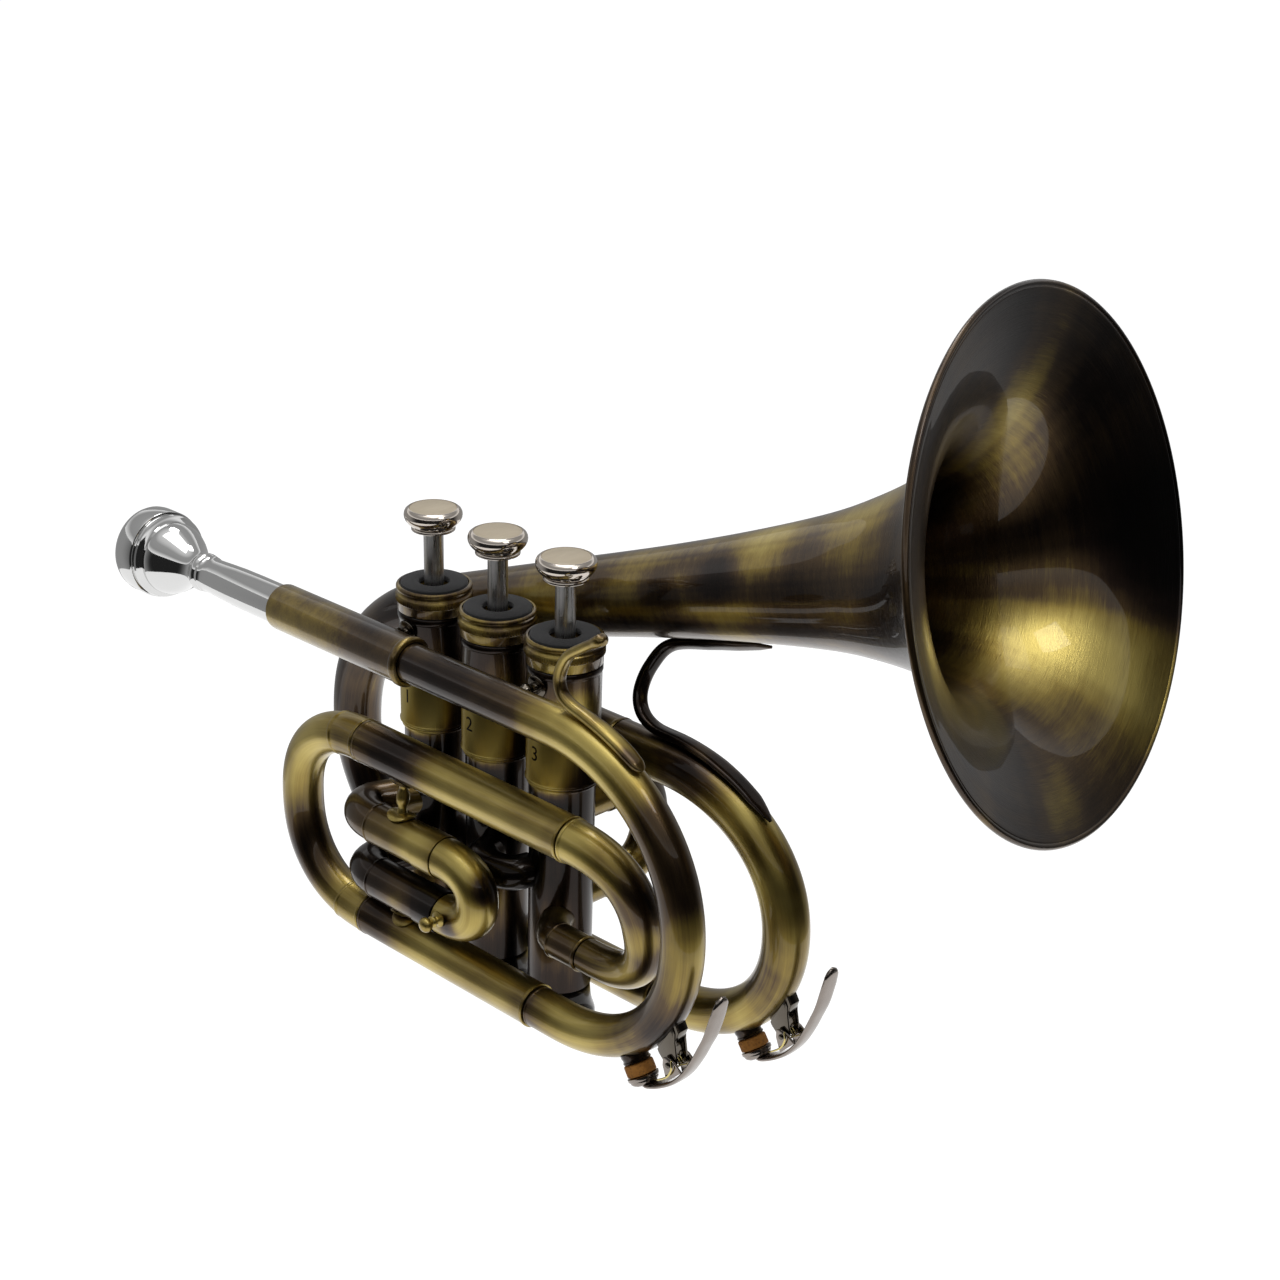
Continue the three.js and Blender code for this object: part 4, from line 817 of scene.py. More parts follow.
FIRST_Y, FIRST_TOP, FIRST_BOTTOM = -26.5, -10.8, -28.6
first_finishes = {
    # The spots paint a highlight on each sleeve's front and shade towards the upper sleeve's elbow, with a
    # darker mark near the lower sleeve's mouth
    "upper": antique_brass("first_upper_brass", 0.1, 11.2, [
        ((0, -30, -9), 12, 0.35), ((-30, -24, -10), 14, -0.35),
    ], patches=0.2),
    "lower": antique_brass("first_lower_dark_brass", -0.25, 12.6, [
        ((-8, -32, -28), 12, 0.45), ((6, -30, -28), 6, -0.3),
    ], patches=0.25),
}
for name, height, corner_x, slot in (
    ("upper", FIRST_TOP, -33.4, "antique_brass"), ("lower", FIRST_BOTTOM, -31.4, "dark_brass"),
):
    start = ((3 * VALVES[1] + corner_x) / 4, -5.4, height)
    turn_round = elbow((corner_x, FIRST_Y * 0.7, height), (corner_x, FIRST_Y, height), (-22, FIRST_Y, height))
    line = [start, *turn_round, (6.8, FIRST_Y, height)]
    end = length_of(line)
    marks = [(0, 5.9), (end - 28.8, 5.9), (end - 28.6, 6.1), (end - 8.2, 6.1), (end - 8.0, 6.4), (end, 6.4)]
    outer = tube(f"first_{name}_outer_sleeve", line, marks, rings=[(end - 28.2, 0.9, 0.22)])
    hand_over(bored(outer, VALVES[1]), first_finishes[name], slot, "root", f"first_sleeve_{name}")


def plain_leg(leg, inner, outer):
    """Marks of a slide's leg: plain inside its sleeve, and as wide as the sleeve beyond it."""
    return [(0, inner), (leg - 0.01, inner), (leg, outer)]


first_crook = bow_path(7.15, 7.15, FIRST_TOP, FIRST_BOTTOM, reach=13.2, power=2.4, y=FIRST_Y, steps=60)
first_line = [(-19.3, FIRST_Y, FIRST_TOP), *first_crook, (-19.3, FIRST_Y, FIRST_BOTTOM)]
# The spots paint a highlight on the crook's top and shade on its outer bend and lower front
first_slide_brass = antique_brass("first_slide_brass", 0.3, 13.9, [
    ((16, -30, -10), 8, 0.2), ((26, -27, -13), 8, -0.8), ((14, -32, -28), 6, -0.6),
], patches=0.2)
first_slide = tube(
    "first_slide_crook", first_line, both_ends(plain_leg(26.4, 5.1, 6.0), length_of(first_line)),
    wall=0.6, spacing=1.0,
)
hand_over(first_slide, first_slide_brass, "antique_brass", "first_valve_slide", "first_slide")

knob_profile = [
    (0, 0.2), (1.9, 0.2), (2.3, 0.4), (2.3, 0.8), (1.75, 1.1), (1.2, 1.4), (1.05, 1.8), (1.1, 2.3),
    (1.6, 2.6), (1.75, 2.9), (1.6, 3.2), (1.15, 3.45), (1.25, 3.7), (1.8, 4.1), (2.15, 4.7),
    (2.25, 5.3), (2.1, 5.9), (1.6, 6.5), (0.9, 6.82), (0, 6.9),
]
knob = turned("first_slide_pull_knob", knob_profile, 48, (11, FIRST_Y - 5.7, -26.4), RIGHT)
hand_over(knob, brass_ring, "antique_brass", "first_valve_slide", "first_slide_knob")


# Second and third valve slides, which point to the player's left

SIDE_START, SIDE_LEG_END = 4.6, 11


def side_sleeve(name, x, height, neck, end):
    """A sleeve that starts in a casing, with a thin neck and a rim at its mouth."""
    neck, length = neck - SIDE_START, end - SIDE_START
    profile = [
        (4.75, 0), (5.15, 0), (5.15, neck - 0.2), (5.25, neck), (5.5, neck + 0.1), (5.55, neck + 0.3),
        (5.55, length - 1.3), (5.7, length - 1.15), (5.7, length - 0.2), (5.55, length), (4.75, length),
    ]
    return turned(name, profile, 64, (x, SIDE_START, height), LEFT)


side_brass = antique_brass("side_slide_brass", 0.0, 15.1, patches=0.3)
for name, number, x, top, bottom, neck, sleeve_end, reach, power in (
    ("second", 2, 0, -3, -17, 14.5, 22, 7, 2), ("third", 3, 27.5, 2.9, -24.7, 15, 22.6, 11.4, 2.3),
):
    for place, height in (("upper", top), ("lower", bottom)):
        outer = side_sleeve(f"{name}_{place}_outer_sleeve", x, height, neck, sleeve_end)
        outer = bored(outer, VALVES[number])
        hand_over(outer, side_brass, "antique_brass", "root", f"{name}_sleeve_{place}")
    start = sleeve_end + 0.35
    arc = [(x, y, z) for y, _, z in bow_path(start, start, top, bottom, reach, power, y=0, steps=60)]
    line = [(x, SIDE_LEG_END, top), *arc, (x, SIDE_LEG_END, bottom)]
    length = length_of(line)
    leg = start - SIDE_LEG_END - 0.05
    crook = tube(
        f"{name}_slide_crook", line, both_ends(plain_leg(leg, 4.45, 5.3), length),
        wall=0.6, spacing=1.0, rings=both_ends([(leg + 0.6, 1.0, 0.2)], length),
    )
    hand_over(crook, side_brass, "antique_brass", f"{name}_valve_slide", f"{name}_slide")


# Bell

BELL_CENTRE = Vector((144.3, 43.5, 93.8))
PITCH, YAW = math.radians(16.6), math.radians(7.1)
BELL_AXIS = Vector((math.cos(PITCH) * math.cos(YAW), math.cos(PITCH) * math.sin(YAW), math.sin(PITCH)))
RIM, BELL_LENGTH, BELL_WALL, BEAD_RADIUS = 65.2, 196, 0.7, 0.9

# The flare from the rim back: shares of the rim's radius and of the bell's length
FLARE = [
    (0.98, 0.0008), (0.953, 0.0036), (0.851, 0.0153), (0.735, 0.0332), (0.625, 0.0561), (0.524, 0.0867),
    (0.442, 0.1224), (0.375, 0.168), (0.3165, 0.2296), (0.267, 0.306), (0.2226, 0.4337), (0.189, 0.5867),
    (0.162, 0.79), (0.1357, 1.0),
]


def bell_point(behind):
    """The point of the bell's axis at a distance behind its rim."""
    return BELL_CENTRE - BELL_AXIS * behind


flare_line = smooth_line([(share * RIM, behind * BELL_LENGTH, 0) for share, behind in FLARE], 6)
outside = [(point.x, -point.y) for point in flare_line]
inside = []
for i, (radius, height) in enumerate(outside):
    before, after = outside[max(i - 1, 0)], outside[min(i + 1, len(outside) - 1)]
    along = Vector((after[0] - before[0], after[1] - before[1])).normalized()
    inside.append((radius + along.y * BELL_WALL, height - along.x * BELL_WALL))
bead = [
    (RIM + BEAD_RADIUS * (math.cos(angle) - 0.6), BEAD_RADIUS * math.sin(angle))
    for angle in (math.radians(degrees) for degrees in range(150, -151, -30))
]
bell_profile = [*outside[::-1], *reversed(bead), *inside]
# The spots paint the gold highlight and the sheen inside the bell, and the shade in its throat, at its top
# and on its far side; along the neck they make darker and brighter bands, with patches of patina. The rays
# paint a fan of highlight and shade from the throat.
bell_brass = antique_brass("bell_brass", -0.12, 17.3, [
    ((146, 72, 56), 38, 0.42), ((126, 52, 62), 24, 0.35), ((136, 20, 68), 30, -0.35),
    ((158, 37, 41), 18, 0.25), ((116, 56, 116), 34, 0.5), ((128, 40, 156), 30, -0.25),
    ((142, 100, 92), 34, -0.5), ((104, 50, 96), 14, -0.5), ((98, 24, 104), 22, 0.55),
    ((70, 24, 88), 18, 0.5), ((104, 12, 66), 18, 0.3), ((66, 14, 60), 22, 0.45),
    ((118, 8, 84), 18, -0.3), ((34, 16, 66), 22, 0.2), ((0, 12, 52), 20, 0.35),
    ((40, 14, 68), 11, -0.5), ((60, 17, 74), 12, -0.55),
], cloud=18.0, patches=0.22, brush=round_brush, streaks=0.14, grain=0.3, rays=0.12)
bell = turned("bell_flare", bell_profile, 160, BELL_CENTRE, BELL_AXIS)
hand_over(bell, bell_brass, "antique_brass", "root", "bell")


# Far side tubes

FAR, FAR_TOP, FAR_BOTTOM, FAR_RADIUS = 21.85, 16.7, -57.6, 6.5
REAR_Y = 20.5
PULL_UP_SHARE, PULL_DOWN_SHARE = 0.61, 0.54
apex = Vector((-86.6, 19.2, -13))
bow_start = bell_point(BELL_LENGTH + 0.3)
bow_end = Vector((-44.5, REAR_Y, FAR_BOTTOM))
width = bow_end.x - apex.x
leaving = bell_point(BELL_LENGTH + width / 2)
above = apex + Vector(UP) * (bow_start.z - apex.z) * PULL_UP_SHARE
below = apex - Vector(UP) * (apex.z - FAR_BOTTOM) * PULL_DOWN_SHARE
arriving = bow_end - Vector(FORWARD) * width / 2
upper = interpolate_bezier(bow_start, leaving, above, apex, 60)
lower = interpolate_bezier(apex, below, arriving, bow_end, 60)
rear_path = [*upper, *lower[1:]]
rear_length = length_of(rear_path)
# The spots paint shade on the rear bow behind the first casing, on its lower turn and near the bell's neck
rear_brass = antique_brass("rear_bow_brass", -0.05, 19.8, [
    ((-84, 17, 5), 26, -0.05), ((-84, 17, -36), 20, -0.35), ((-56, 20, 30), 16, -0.2),
], patches=0.25)
rear_bow = tube(
    "bell_rear_bow_tube", rear_path, [(0, 8.7), (rear_length, 6.5)],
    rings=[(1.0, 1.6, 0.35), (rear_length - 0.8, 1.4, 0.3)],
)
hand_over(rear_bow, rear_brass, "antique_brass", "root", "bell_rear_bow")

far_leg_path = [
    (-44.15, REAR_Y, FAR_BOTTOM), (-43.85, REAR_Y, FAR_BOTTOM), (46.05, FAR, FAR_BOTTOM),
    (46.35, FAR, FAR_BOTTOM),
]
leg_rings = both_ends([(0.7, 1.2, 0.12)], length_of(far_leg_path))
far_leg = tube("far_lower_leg_tube", far_leg_path, 6.6, rings=leg_rings, spacing=6)
hand_over(far_leg, brass_tube, "antique_brass", "root", "far_lower_leg")


def far_bow(steps=140):
    return bow_path(45.6, 46.7, FAR_TOP, FAR_BOTTOM, reach=44.6, power=2.11, y=FAR, steps=steps)


far_bow_path = [(27.4, FAR, FAR_TOP), *far_bow(), (46.65, FAR, FAR_BOTTOM)]
# The spots paint highlights on the far bow's upper turn between the strap and the near bow, and shade where
# it meets the strap and on its outer side
far_bow_brass = antique_brass("far_bow_brass", 0.12, 21.7, [
    ((56, 20, 22), 14, -0.4), ((76, 17, 12), 12, 0.35), ((86, 18, -2), 14, 0.4), ((94, 22, 4), 12, -0.4),
    ((86, 20, -34), 16, -0.25), ((62, 20, -56), 16, 0.3),
], patches=0.25)
front_bow = tube("far_front_bow_tube", far_bow_path, FAR_RADIUS)
hand_over(front_bow, far_bow_brass, "antique_brass", "root", "far_front_bow")

far_x = VALVES[1]
far_elbow = elbow((far_x + 12, FAR, FAR_TOP), (far_x, FAR, FAR_TOP), (far_x, FAR - 9, FAR_TOP))
far_upper_path = [(27.1, FAR, FAR_TOP), (14, FAR, FAR_TOP), *far_elbow, (far_x, 4.6, FAR_TOP)]
far_upper_length = length_of(far_upper_path)
far_upper = tube(
    "far_upper_leg_tube", far_upper_path, [(0, 6.6), (13.1, 6.6), (13.3, 5.5), (far_upper_length, 5.5)],
    rings=[(0.7, 1.2, 0.12), (12.4, 1.2, 0.12)],
)
hand_over(bored(far_upper, VALVES[1]), brass_tube, "antique_brass", "root", "far_upper_leg")


# Finger hook and bell strap: turned as long leaves, flattened and bent

def leaf(name, path, widths, thicks, sides=36):
    """A strap whose half width and thickness follow (share of length, size) marks, with an oval section."""
    length = length_of(path)
    halves = [(share * length, half) for share, half in widths]
    depths = [(share * length, thick) for share, thick in thicks]
    count = max(int(length / 0.6), 1)
    outer = [(radius_at(halves, length * i / count), length * i / count) for i in range(count + 1)]
    piece = turn(name, [(0, 0), *outer, (0, length)], sides)
    for point in piece.data.vertices:
        place = point.co.z / MM
        half = max(radius_at(halves, place), 0.01)
        angle = math.atan2(point.co.y, point.co.x)
        full = math.hypot(point.co.x, point.co.y) / MM / half
        depth = min(radius_at(depths, place) / 2, half) * full
        point.co.x = math.copysign(abs(math.cos(angle)) ** 0.72, point.co.x) * half * full * MM
        point.co.y = math.copysign(abs(math.sin(angle)) ** 0.8, point.co.y) * depth * MM
    return bend(piece, path)


def bow_frame(path, share, radius):
    """The place on a bow's outer side, the way out and the way up the bow."""
    here = round(share * (len(path) - 1))
    along = (Vector(path[here - 1]) - Vector(path[here + 1])).normalized()
    outward = Vector((along.z, 0, -along.x))
    return Vector(path[here]) + outward * radius, outward, along


near_fine = near_bow(steps=200)
far_fine = far_bow(steps=200)
HOOK_SEAT, HOOK_BACK, HOOK_REACH, HOOK_HEIGHT = 7.3, 49, 15.4, 23.2
seat = [bow_frame(near_fine, share, HOOK_SEAT)[0] for share in (0.2, 0.18, 0.16, 0.14, 0.11, 0.08)]
hook_curl = [
    (HOOK_BACK + along * HOOK_REACH, NEAR, seat[-1].z + rise * HOOK_HEIGHT)
    for along, rise in ((0.19, 0.1), (0, 0.25), (0.02, 0.44), (0.19, 0.64), (0.52, 0.8), (1, 1))
]
hook_path = smooth_line([*seat, *hook_curl], 10)
# The spots paint shade on the hook's upper curl and a highlight near its foot
hook_brass = antique_brass("finger_hook_brass", 0.15, 23.4, [
    ((50, -24, 54), 9, -0.3), ((68, -24, 44), 14, 0.2),
], cloud=50.0, patches=0.3)
hook = leaf("finger_hook_leaf", hook_path, [
    (0, 0.5), (0.012, 1.5), (0.035, 2.1), (0.1, 2.4), (0.25, 2.3), (0.4, 1.9), (0.6, 1.8), (0.88, 1.8),
    (0.935, 1.9), (0.955, 2.1), (0.975, 2.1), (0.992, 1.5), (1, 0.4),
], [(0, 1.0), (0.04, 2.4), (0.15, 2.8), (0.92, 2.6), (0.955, 3.2), (0.98, 3.2), (1, 0.8)])
hand_over(hook, hook_brass, "antique_brass", "root", "finger_hook")


# The strap lies on the far bow, curls back and up, and ends under the bell
STRAP_BACK, STRAP_UNDER_BELL = 32.2, 1.7
flare_radii = [(behind, radius * RIM) for radius, behind in FLARE]
under = Vector((math.sin(PITCH), 0, -math.cos(PITCH)))
under_bell = [
    bell_point(share * BELL_LENGTH) + under * (radius_at(flare_radii, share) + STRAP_UNDER_BELL)
    for share in (0.53, 0.48, 0.43)
]
foot_shares = (0.25, 0.23, 0.21, 0.19, 0.165, 0.14, 0.11, 0.08, 0.05, 0.02)
far_seat = [
    bow_frame(far_fine, share, FAR_RADIUS + 1.15 + 0.055 * i)[0] for i, share in enumerate(foot_shares)
]
head, foot = under_bell[0], far_seat[-1]
strap_curl = [
    (STRAP_BACK + (head.x - STRAP_BACK) * along, 0, foot.z + share * (head.z - foot.z))
    for along, share in ((0.45, 0.015), (0.14, 0.13), (0, 0.33), (0.04, 0.6), (0.3, 0.86))
]
strap_line = [*far_seat, *strap_curl, *under_bell]
strap_path = []
for point in strap_line:
    x, _, z = point
    share = min(max((z - foot.z) / (head.z - foot.z), 0), 1)
    share = share * share * (3 - 2 * share)
    bell_y = BELL_CENTRE.y - (BELL_CENTRE.x - x) * BELL_AXIS.y / BELL_AXIS.x
    strap_path.append((x, FAR + (bell_y - FAR) * share, z))
strap_brass = antique_brass("bell_strap_brass", -0.25, 25.6, cloud=50.0, patches=0.3)
strap = leaf("bell_strap_leaf", smooth_line(strap_path, 10), [
    (0, 0.4), (0.02, 1.4), (0.07, 2.5), (0.2, 2.7), (0.36, 2.2), (0.7, 2.2), (0.88, 2.6), (0.96, 1.9),
    (1, 0.4),
], [(0, 0.7), (0.05, 1.6), (0.3, 2.5), (0.4, 2.8), (0.8, 2.8), (0.9, 2.2), (1, 0.8)])
hand_over(strap, strap_brass, "dark_brass", "root", "bell_strap")


# Posts

def flange(at, toward, tube_radius, tube_along, reach, thick=0.8):
    """A thin round saddle that lies on a tube: a disc bent over the tube's curve."""
    lift = tube_radius + 0.25
    outline = [(0, 0), (0.5, 0), (0.8, 0), (1, 0), (1, 0.6), (0.85, 1), (0.55, 1), (0, 1)]
    disc = turn("flange", [(out * reach, up * thick) for out, up in outline], 40)
    toward, tube_along = Vector(toward).normalized(), Vector(tube_along).normalized()
    side = toward.cross(tube_along)
    for point in disc.data.vertices:
        angle = point.co.x / MM / lift
        out = lift + point.co.z / MM
        across = toward * (out * math.cos(angle)) + side * (out * math.sin(angle))
        point.co = (Vector(at) + across + tube_along * (point.co.y / MM)) * MM
    return disc


SLIDE_POSTS = -12


def slide_post(name, lower, upper, node):
    """A turned post between two level tubes, with a foot on each."""
    start, end = (Vector((SLIDE_POSTS, y, z)) for y, z in (lower, upper))
    direction = (end - start).normalized()
    first, last = 6.4, (end - start).length - 6.5
    middle, half = (first + last) / 2, (last - first) / 2
    profile = [
        (0, first), (1.7, first), (1.35, first + half * 0.35), (1.3, first + half * 0.5),
        (1.9, middle - half * 0.28), (2.0, middle), (1.9, middle + half * 0.28),
        (1.3, last - half * 0.5), (1.35, last - half * 0.35), (1.7, last), (0, last),
    ]
    core = turned(name, profile, 40, start, direction)
    feet = [
        flange(start, direction, tube_radius=6.2, tube_along=FORWARD, reach=4.2),
        flange(end, -direction, tube_radius=6.3, tube_along=FORWARD, reach=4.2),
    ]
    hand_over(join([core, *feet]), brass_ring, "antique_brass", "root", node)


slide_post("upper_slide_post", (FIRST_Y, FIRST_TOP), (NEAR, UPPER), "slide_post_upper")
slide_post("lower_slide_post", (NEAR, LOWER), (FIRST_Y, FIRST_BOTTOM), "slide_post_lower")

# Each leadpipe post's outline: radius, and share of its length
POST_SHAPE = [
    (0, 0), (1.7, 0), (1.4, 0.2), (1.35, 0.28), (2.1, 0.42), (2.1, 0.58), (1.35, 0.72), (1.4, 0.8),
    (1.7, 1), (0, 1),
]
for name, x, radius in (("first", VALVES[1], 6.6), ("third", VALVES[3], 5.45)):
    near_end, far_end = NEAR + radius + 0.25, -10.4
    profile = [(out, share * (far_end - near_end)) for out, share in POST_SHAPE]
    core = turned(f"{name}_leadpipe_post", profile, 40, (x, near_end, LEADPIPE), LEFT)
    feet = [
        flange((x, NEAR, LEADPIPE), LEFT, radius, FORWARD, reach=3.3),
        flange((x, 0, LEADPIPE), RIGHT, BALUSTER_RADIUS, UP, reach=3.3),
    ]
    hand_over(join([core, *feet]), dark_nickel, "nickel", "root", f"leadpipe_post_{name}")


# Water keys

def on_bow(piece, at, outward, along):
    """Moves a piece made with x up the bow, y across and z outwards to its place on the bow."""
    basis = Matrix((along, Vector(LEFT), outward)).transposed().to_4x4()
    piece.matrix_world = Matrix.Translation(at * MM) @ basis
    apply_place(piece)
    bpy.ops.object.mode_set(mode="EDIT")
    select_mesh()
    bpy.ops.mesh.normals_make_consistent(inside=False)
    bpy.ops.object.mode_set(mode="OBJECT")
    return piece


def plate(name, outline, width, y, bevel=0.18):
    """A plate cut to an outline of (x, z) points, with its edges rounded."""
    deselect()
    x, z = outline[0]
    bpy.ops.mesh.primitive_plane_add(size=MM, location=(x * MM, (y - width / 2) * MM, z * MM))
    piece = bpy.context.object
    piece.name = name
    bpy.ops.object.mode_set(mode="EDIT")
    select_mesh()
    bpy.ops.mesh.merge(type="CENTER")
    for (x, z), (next_x, next_z) in zip(outline, outline[1:]):
        step = ((next_x - x) * MM, 0, (next_z - z) * MM)
        bpy.ops.mesh.extrude_vertices_move(TRANSFORM_OT_translate={"value": step})
    select_mesh()
    bpy.ops.mesh.edge_face_add()
    bpy.ops.mesh.extrude_region_move(TRANSFORM_OT_translate={"value": (0, width * MM, 0)})
    select_mesh()
    bpy.ops.mesh.normals_make_consistent(inside=False)
    bpy.ops.object.mode_set(mode="OBJECT")
    apply_place(piece)
    rounding = piece.modifiers.new("rounding", "BEVEL")
    rounding.width = bevel * MM
    rounding.segments = 2
    rounding.angle_limit = math.radians(40)
    apply_modifier(piece, rounding)
    note_lathe(piece)
    return piece


# The keys are drawn with x up the bow from the nipple, y across and z outwards
PIVOT_ALONG, PIVOT_OUT = 15.3, 3.4
NIPPLE_PROFILE = [
    (1.6, -1.2), (3.9, -1.2), (3.9, -0.2), (3.7, 0.3), (3.7, 0.9), (3.9, 1.1), (3.9, 1.45), (3.7, 1.6),
    (1.6, 1.6),
]
CORK_PROFILE = [(0, 1.9), (3.7, 1.9), (4.0, 2.1), (4.1, 2.5), (4.1, 4.9), (4.0, 5.1), (0, 5.1)]
PIN_PROFILE = both_ends([(-3.9, 0), (-3.9, 0.5), (-3.7, 0.8), (-3.5, 0.8), (-3.4, 0.7)], 0)
BASE_OUTLINE = [
    (12.5, -1), (12.3, -2.2), (22.4, -8.8), (22.1, -4.0), (19.9, -2.2), (15.3, 0.2), (12.5, 0.4),
]
CHEEK_OUTLINE = [
    (12.3, -1.2), (21.2, -6.0), (21.0, -4.0), (19.6, -1.6), (17.7, 3.0), (16.6, 4.5), (15.3, 4.9),
    (14.1, 4.5), (13.2, 3.4), (12.3, 0),
]
EAR_OUTLINE = [(13.2, 3.1), (14.4, 1.2), (16.1, 1.2), (17.4, 2.7), (18.8, 6.2), (12.2, 7.6)]
CUP_PROFILE = [
    (0, 5.4), (4.2, 5.4), (4.4, 5.55), (4.4, 6.3), (4.25, 6.5), (4.0, 6.6), (4.0, 7.0), (3.7, 7.5),
    (3.0, 8.0), (0, 8.2),
]
SPINE = [
    (0.0, 0, 7.87), (2.87, 0, 8.64), (8.2, 0, 8.93), (13.12, 0, 8.45), (18.04, 0, 6.82), (23.37, 0, 3.94),
    (27.47, 0, 1.25), (31.57, 0, -1.54), (35.47, 0, -4.99), (38.79, 0, -8.16), (41.0, 0, -10.56),
]
BLADE_WIDTHS = [
    (0, 1.9), (0.04, 2.6), (0.12, 3.0), (0.3, 3.0), (0.45, 2.8), (0.6, 2.8), (0.75, 3.0), (0.88, 3.0),
    (0.95, 2.6), (0.985, 1.7), (1, 0.4),
]
BLADE_THICKS = [(0, 1.2), (0.06, 1.5), (0.9, 1.5), (0.97, 1.7), (1, 0.8)]
PRESSING_LEG = [(6.8, -2.2, 6.9), (10.5, -4.0, 6.6), (14.5, -4.3, 6.1), (17.2, -4.3, 4.3), (18.0, -4.0, 2.2)]


def key_saddle():
    base = plate("base", BASE_OUTLINE, width=3.8, y=0)
    cheeks = [plate("cheek", CHEEK_OUTLINE, width=0.8, y=y) for y in (-1.9, 1.9)]
    pin_profile = [(radius, place) for place, radius in PIN_PROFILE]
    pin = turned("pin", pin_profile, 32, (PIVOT_ALONG, 0, PIVOT_OUT), LEFT)
    return join([base, *cheeks, pin])


def key_lever():
    blade = leaf("blade", smooth_line(SPINE, 8), BLADE_WIDTHS, BLADE_THICKS)
    cup = turn("cup", CUP_PROFILE, 56)
    ears = [plate("ear", EAR_OUTLINE, width=0.8, y=y) for y in (-3.0, 3.0)]
    return join([blade, cup, *ears])


def key_coil(radius=1.6, width=2.2, steps=18, steps_round=8):
    """The torsion spring's coil round the pin, with one leg on the saddle and one towards the lever."""
    line = [(13.7, -width / 2, 0.8)]
    for i in range(steps + 1):
        angle = i / steps_round * 2 * math.pi
        across = width * (i / steps - 0.5)
        line.append((PIVOT_ALONG - radius * math.cos(angle), across, PIVOT_OUT + radius * math.sin(angle)))
    return [*line, (17.7, width / 2, 5.0)]


key_brass = antique_brass("water_key_brass", -0.35, 27.9, cloud=80.0)
spring_brass = plated("spring_brass", (0.72, 0.60, 0.24), 0.2, 0.2)
for name, fine, share, radius in (("near", near_fine, 0.815, 5.9), ("far", far_fine, 0.775, FAR_RADIUS)):
    body = f"{name}_water_key"
    at, outward, along = bow_frame(fine, share, radius)
    nipple = on_bow(turn(f"{name}_water_nipple", NIPPLE_PROFILE, 48), at, outward, along)
    hand_over(nipple, key_brass, "dark_brass", "root", f"{name}_key_nipple")
    cork = on_bow(turn(f"{name}_key_cork_disc", CORK_PROFILE, 40), at, outward, along)
    hand_over(cork, cork_finish, "cork", body, f"{name}_key_cork")
    saddle = on_bow(key_saddle(), at, outward, along)
    hand_over(saddle, dark_nickel, "dark_brass", "root", f"{name}_key_saddle")
    lever = on_bow(key_lever(), at, outward, along)
    hand_over(lever, key_nickel, "nickel", body, f"{name}_key_lever")
    leg_line = smooth_line(PRESSING_LEG, 8)
    pressing_leg = tube(f"{name}_key_spring_leg", leg_line, radius=0.28, wall=0.27, spacing=0.4, sides=12)
    hand_over(on_bow(pressing_leg, at, outward, along), spring_brass, "antique_brass", body)
    coil_line = smooth_line(key_coil(), 4)
    wire = tube(f"{name}_key_torsion_spring", coil_line, radius=0.2, wall=0.19, spacing=0.35, sides=10)
    hand_over(on_bow(wire, at, outward, along), spring_brass, "antique_brass", "root", f"{name}_key_spring")


# Stage, light and camera, with their places in metres

FLOOR = -0.32
SCREEN_TOP = 0.33
SCREEN_RADIUS = 0.75
WHITE = (1, 1, 1, 1)
FRONT = (0.82, -0.57, 0)


def background_ray(tree):
    """One where the camera, a reflection or a view through glass meets the background, else nought."""
    rays = tree.add("LightPath").node.outputs
    direct = tree.math("MAXIMUM", rays["Is Camera Ray"], rays["Is Transmission Ray"])
    return tree.math("MAXIMUM", direct, rays["Is Glossy Ray"])


bpy.ops.mesh.primitive_plane_add(size=60, location=(0, 0, FLOOR))
floor = bpy.context.object
floor.name = "floor"
floor_finish = Finish("pale_floor")
floor_finish.join(floor_finish.math("MULTIPLY", background_ray(floor_finish), 0.85), "Emission Strength")
floor_finish.set(base_color=(0.4, 0.4, 0.4, 1), roughness=1.0, specular_ior_level=0.0, emission_color=WHITE)
floor.data.materials.append(floor_finish.material)

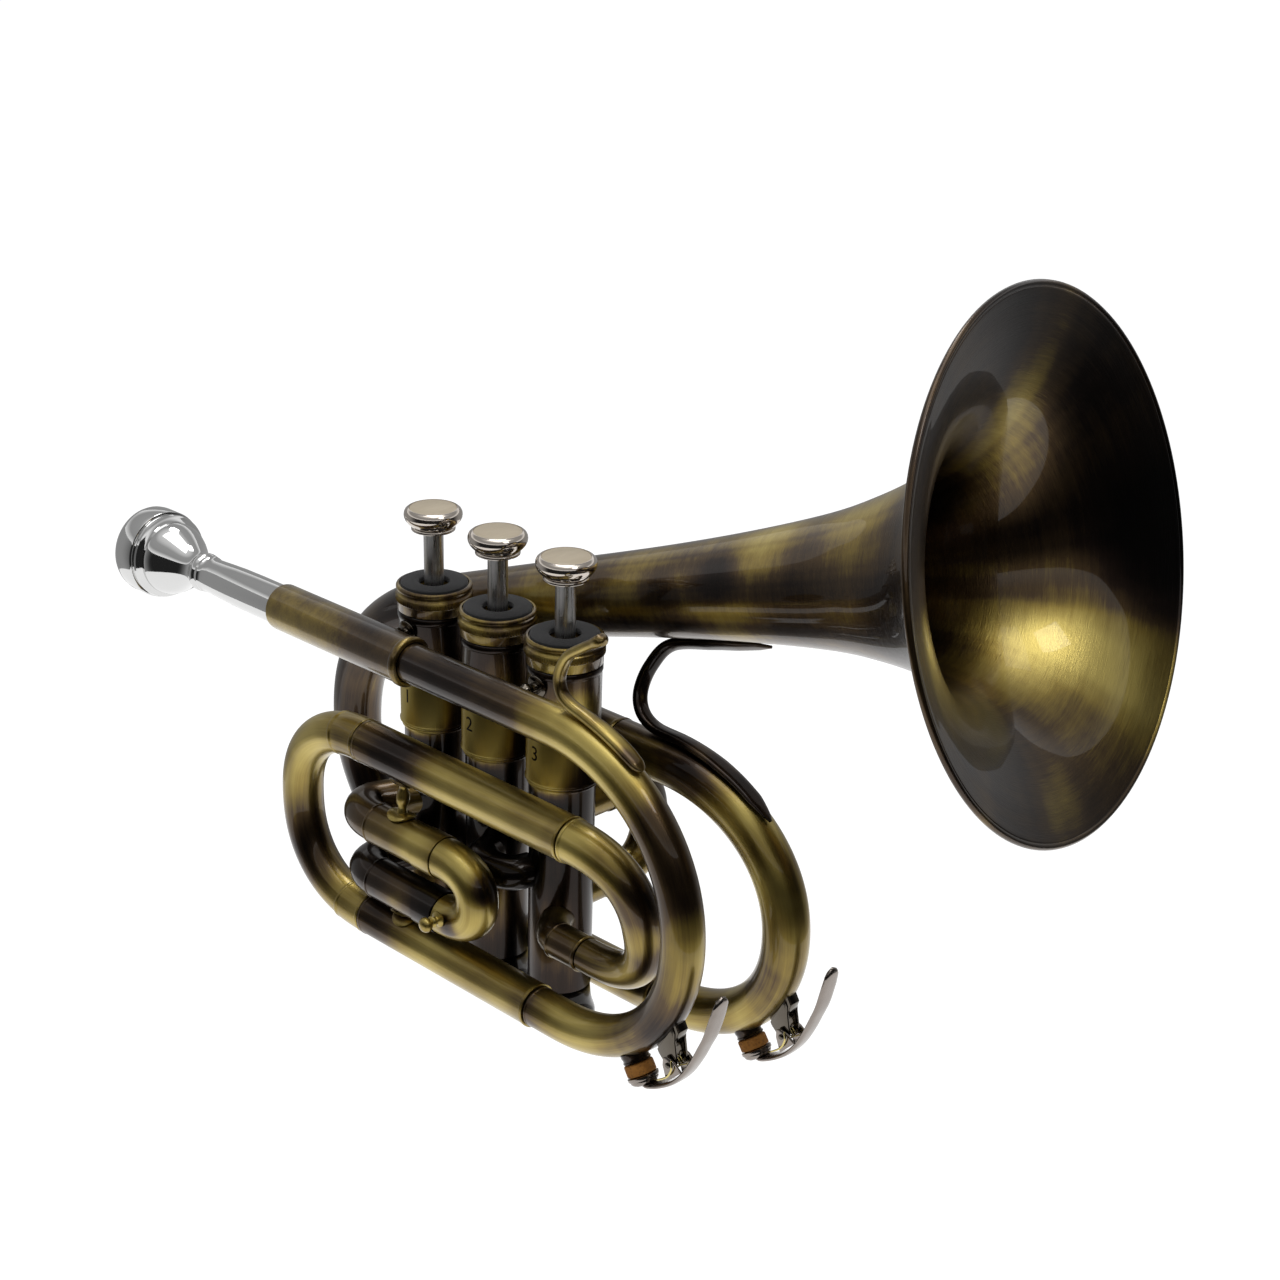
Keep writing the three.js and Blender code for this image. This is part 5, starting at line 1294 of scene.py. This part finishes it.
# A round screen outside the picture, dark in front and grey behind, which only shiny surfaces see
bpy.ops.mesh.primitive_cylinder_add(
    vertices=96, radius=SCREEN_RADIUS, depth=SCREEN_TOP - FLOOR, end_fill_type="NOTHING",
    location=(0, 0, (SCREEN_TOP + FLOOR) / 2),
)
screen = bpy.context.object
screen.name = "dark_screen"
screen.visible_camera = False
screen.visible_shadow = False
screen.visible_diffuse = False
screen_finish = Finish("screen_cloth")
place = screen_finish.add("VectorMath", {0: screen_finish.place()}, operation="NORMALIZE")
dot = screen_finish.add("VectorMath", {0: place, 1: FRONT}, operation="DOT_PRODUCT")
toward_front = dot.node.outputs["Value"]
screen_finish.join(screen_finish.range(toward_front, -0.4, 0.3, 0.34, 0.02), "Emission Strength")
screen_finish.set(base_color=(0, 0, 0, 1), emission_color=WHITE, specular_ior_level=0.0)
screen.data.materials.append(screen_finish.material)


class Sky(Finish):
    """The world's nodes, added and joined as a finish's are."""

    def __init__(self, name):
        self.world = bpy.data.worlds.new(name)
        self.world.use_nodes = True
        self.tree = self.world.node_tree
        self.shader = self.tree.nodes["Background"]


sky = Sky("studio")
bpy.context.scene.world = sky.world
height = sky.add("SeparateXYZ", {0: sky.add("TexCoord").node.outputs["Generated"]}).node.outputs[2]
room = sky.ramp(sky.math("MULTIPLY_ADD", height, 0.5, 0.5), [
    (position, (grey, grey, grey))
    for position, grey in ((0, 1), (0.70, 1), (0.78, 0.36), (0.90, 0.40), (0.95, 0.7), (1, 0.9))
])
sky.join(sky.mix(background_ray(sky), (0.45, 0.45, 0.45, 1), room), "Color")


def lamp(name, place, target, size, power):
    bpy.ops.object.light_add(type="AREA", location=place)
    light = bpy.context.object
    light.name = name
    light.data.size = size
    light.data.energy = power
    light.rotation_euler = (Vector(target) - Vector(place)).to_track_quat("-Z", "Y").to_euler()


lamp("ceiling_light", (0.0, 0.1, 1.4), (0.0, 0.05, 0.03), size=0.9, power=4.0)
lamp("bell_light", (0.68, 0.02, 1.01), (0.13, 0.06, 0.06), size=0.3, power=1.6)
lamp("mouthpiece_light", (-0.43, 0.39, 1.02), (-0.11, -0.02, 0.05), size=0.3, power=1.6)

camera_data = bpy.data.cameras.new("camera")
camera = bpy.data.objects.new("camera", camera_data)
bpy.context.scene.collection.objects.link(camera)
camera.location = (0.40467, -0.37462, 0.27078)
camera.rotation_euler = (math.radians(60.284), 0, math.radians(47.298))
camera_data.sensor_width = 36
camera_data.lens = 60.37
camera_data.shift_x = 0.1136
camera_data.shift_y = 0.2189
bpy.context.scene.camera = camera
bpy.context.scene.view_settings.view_transform = "Standard"
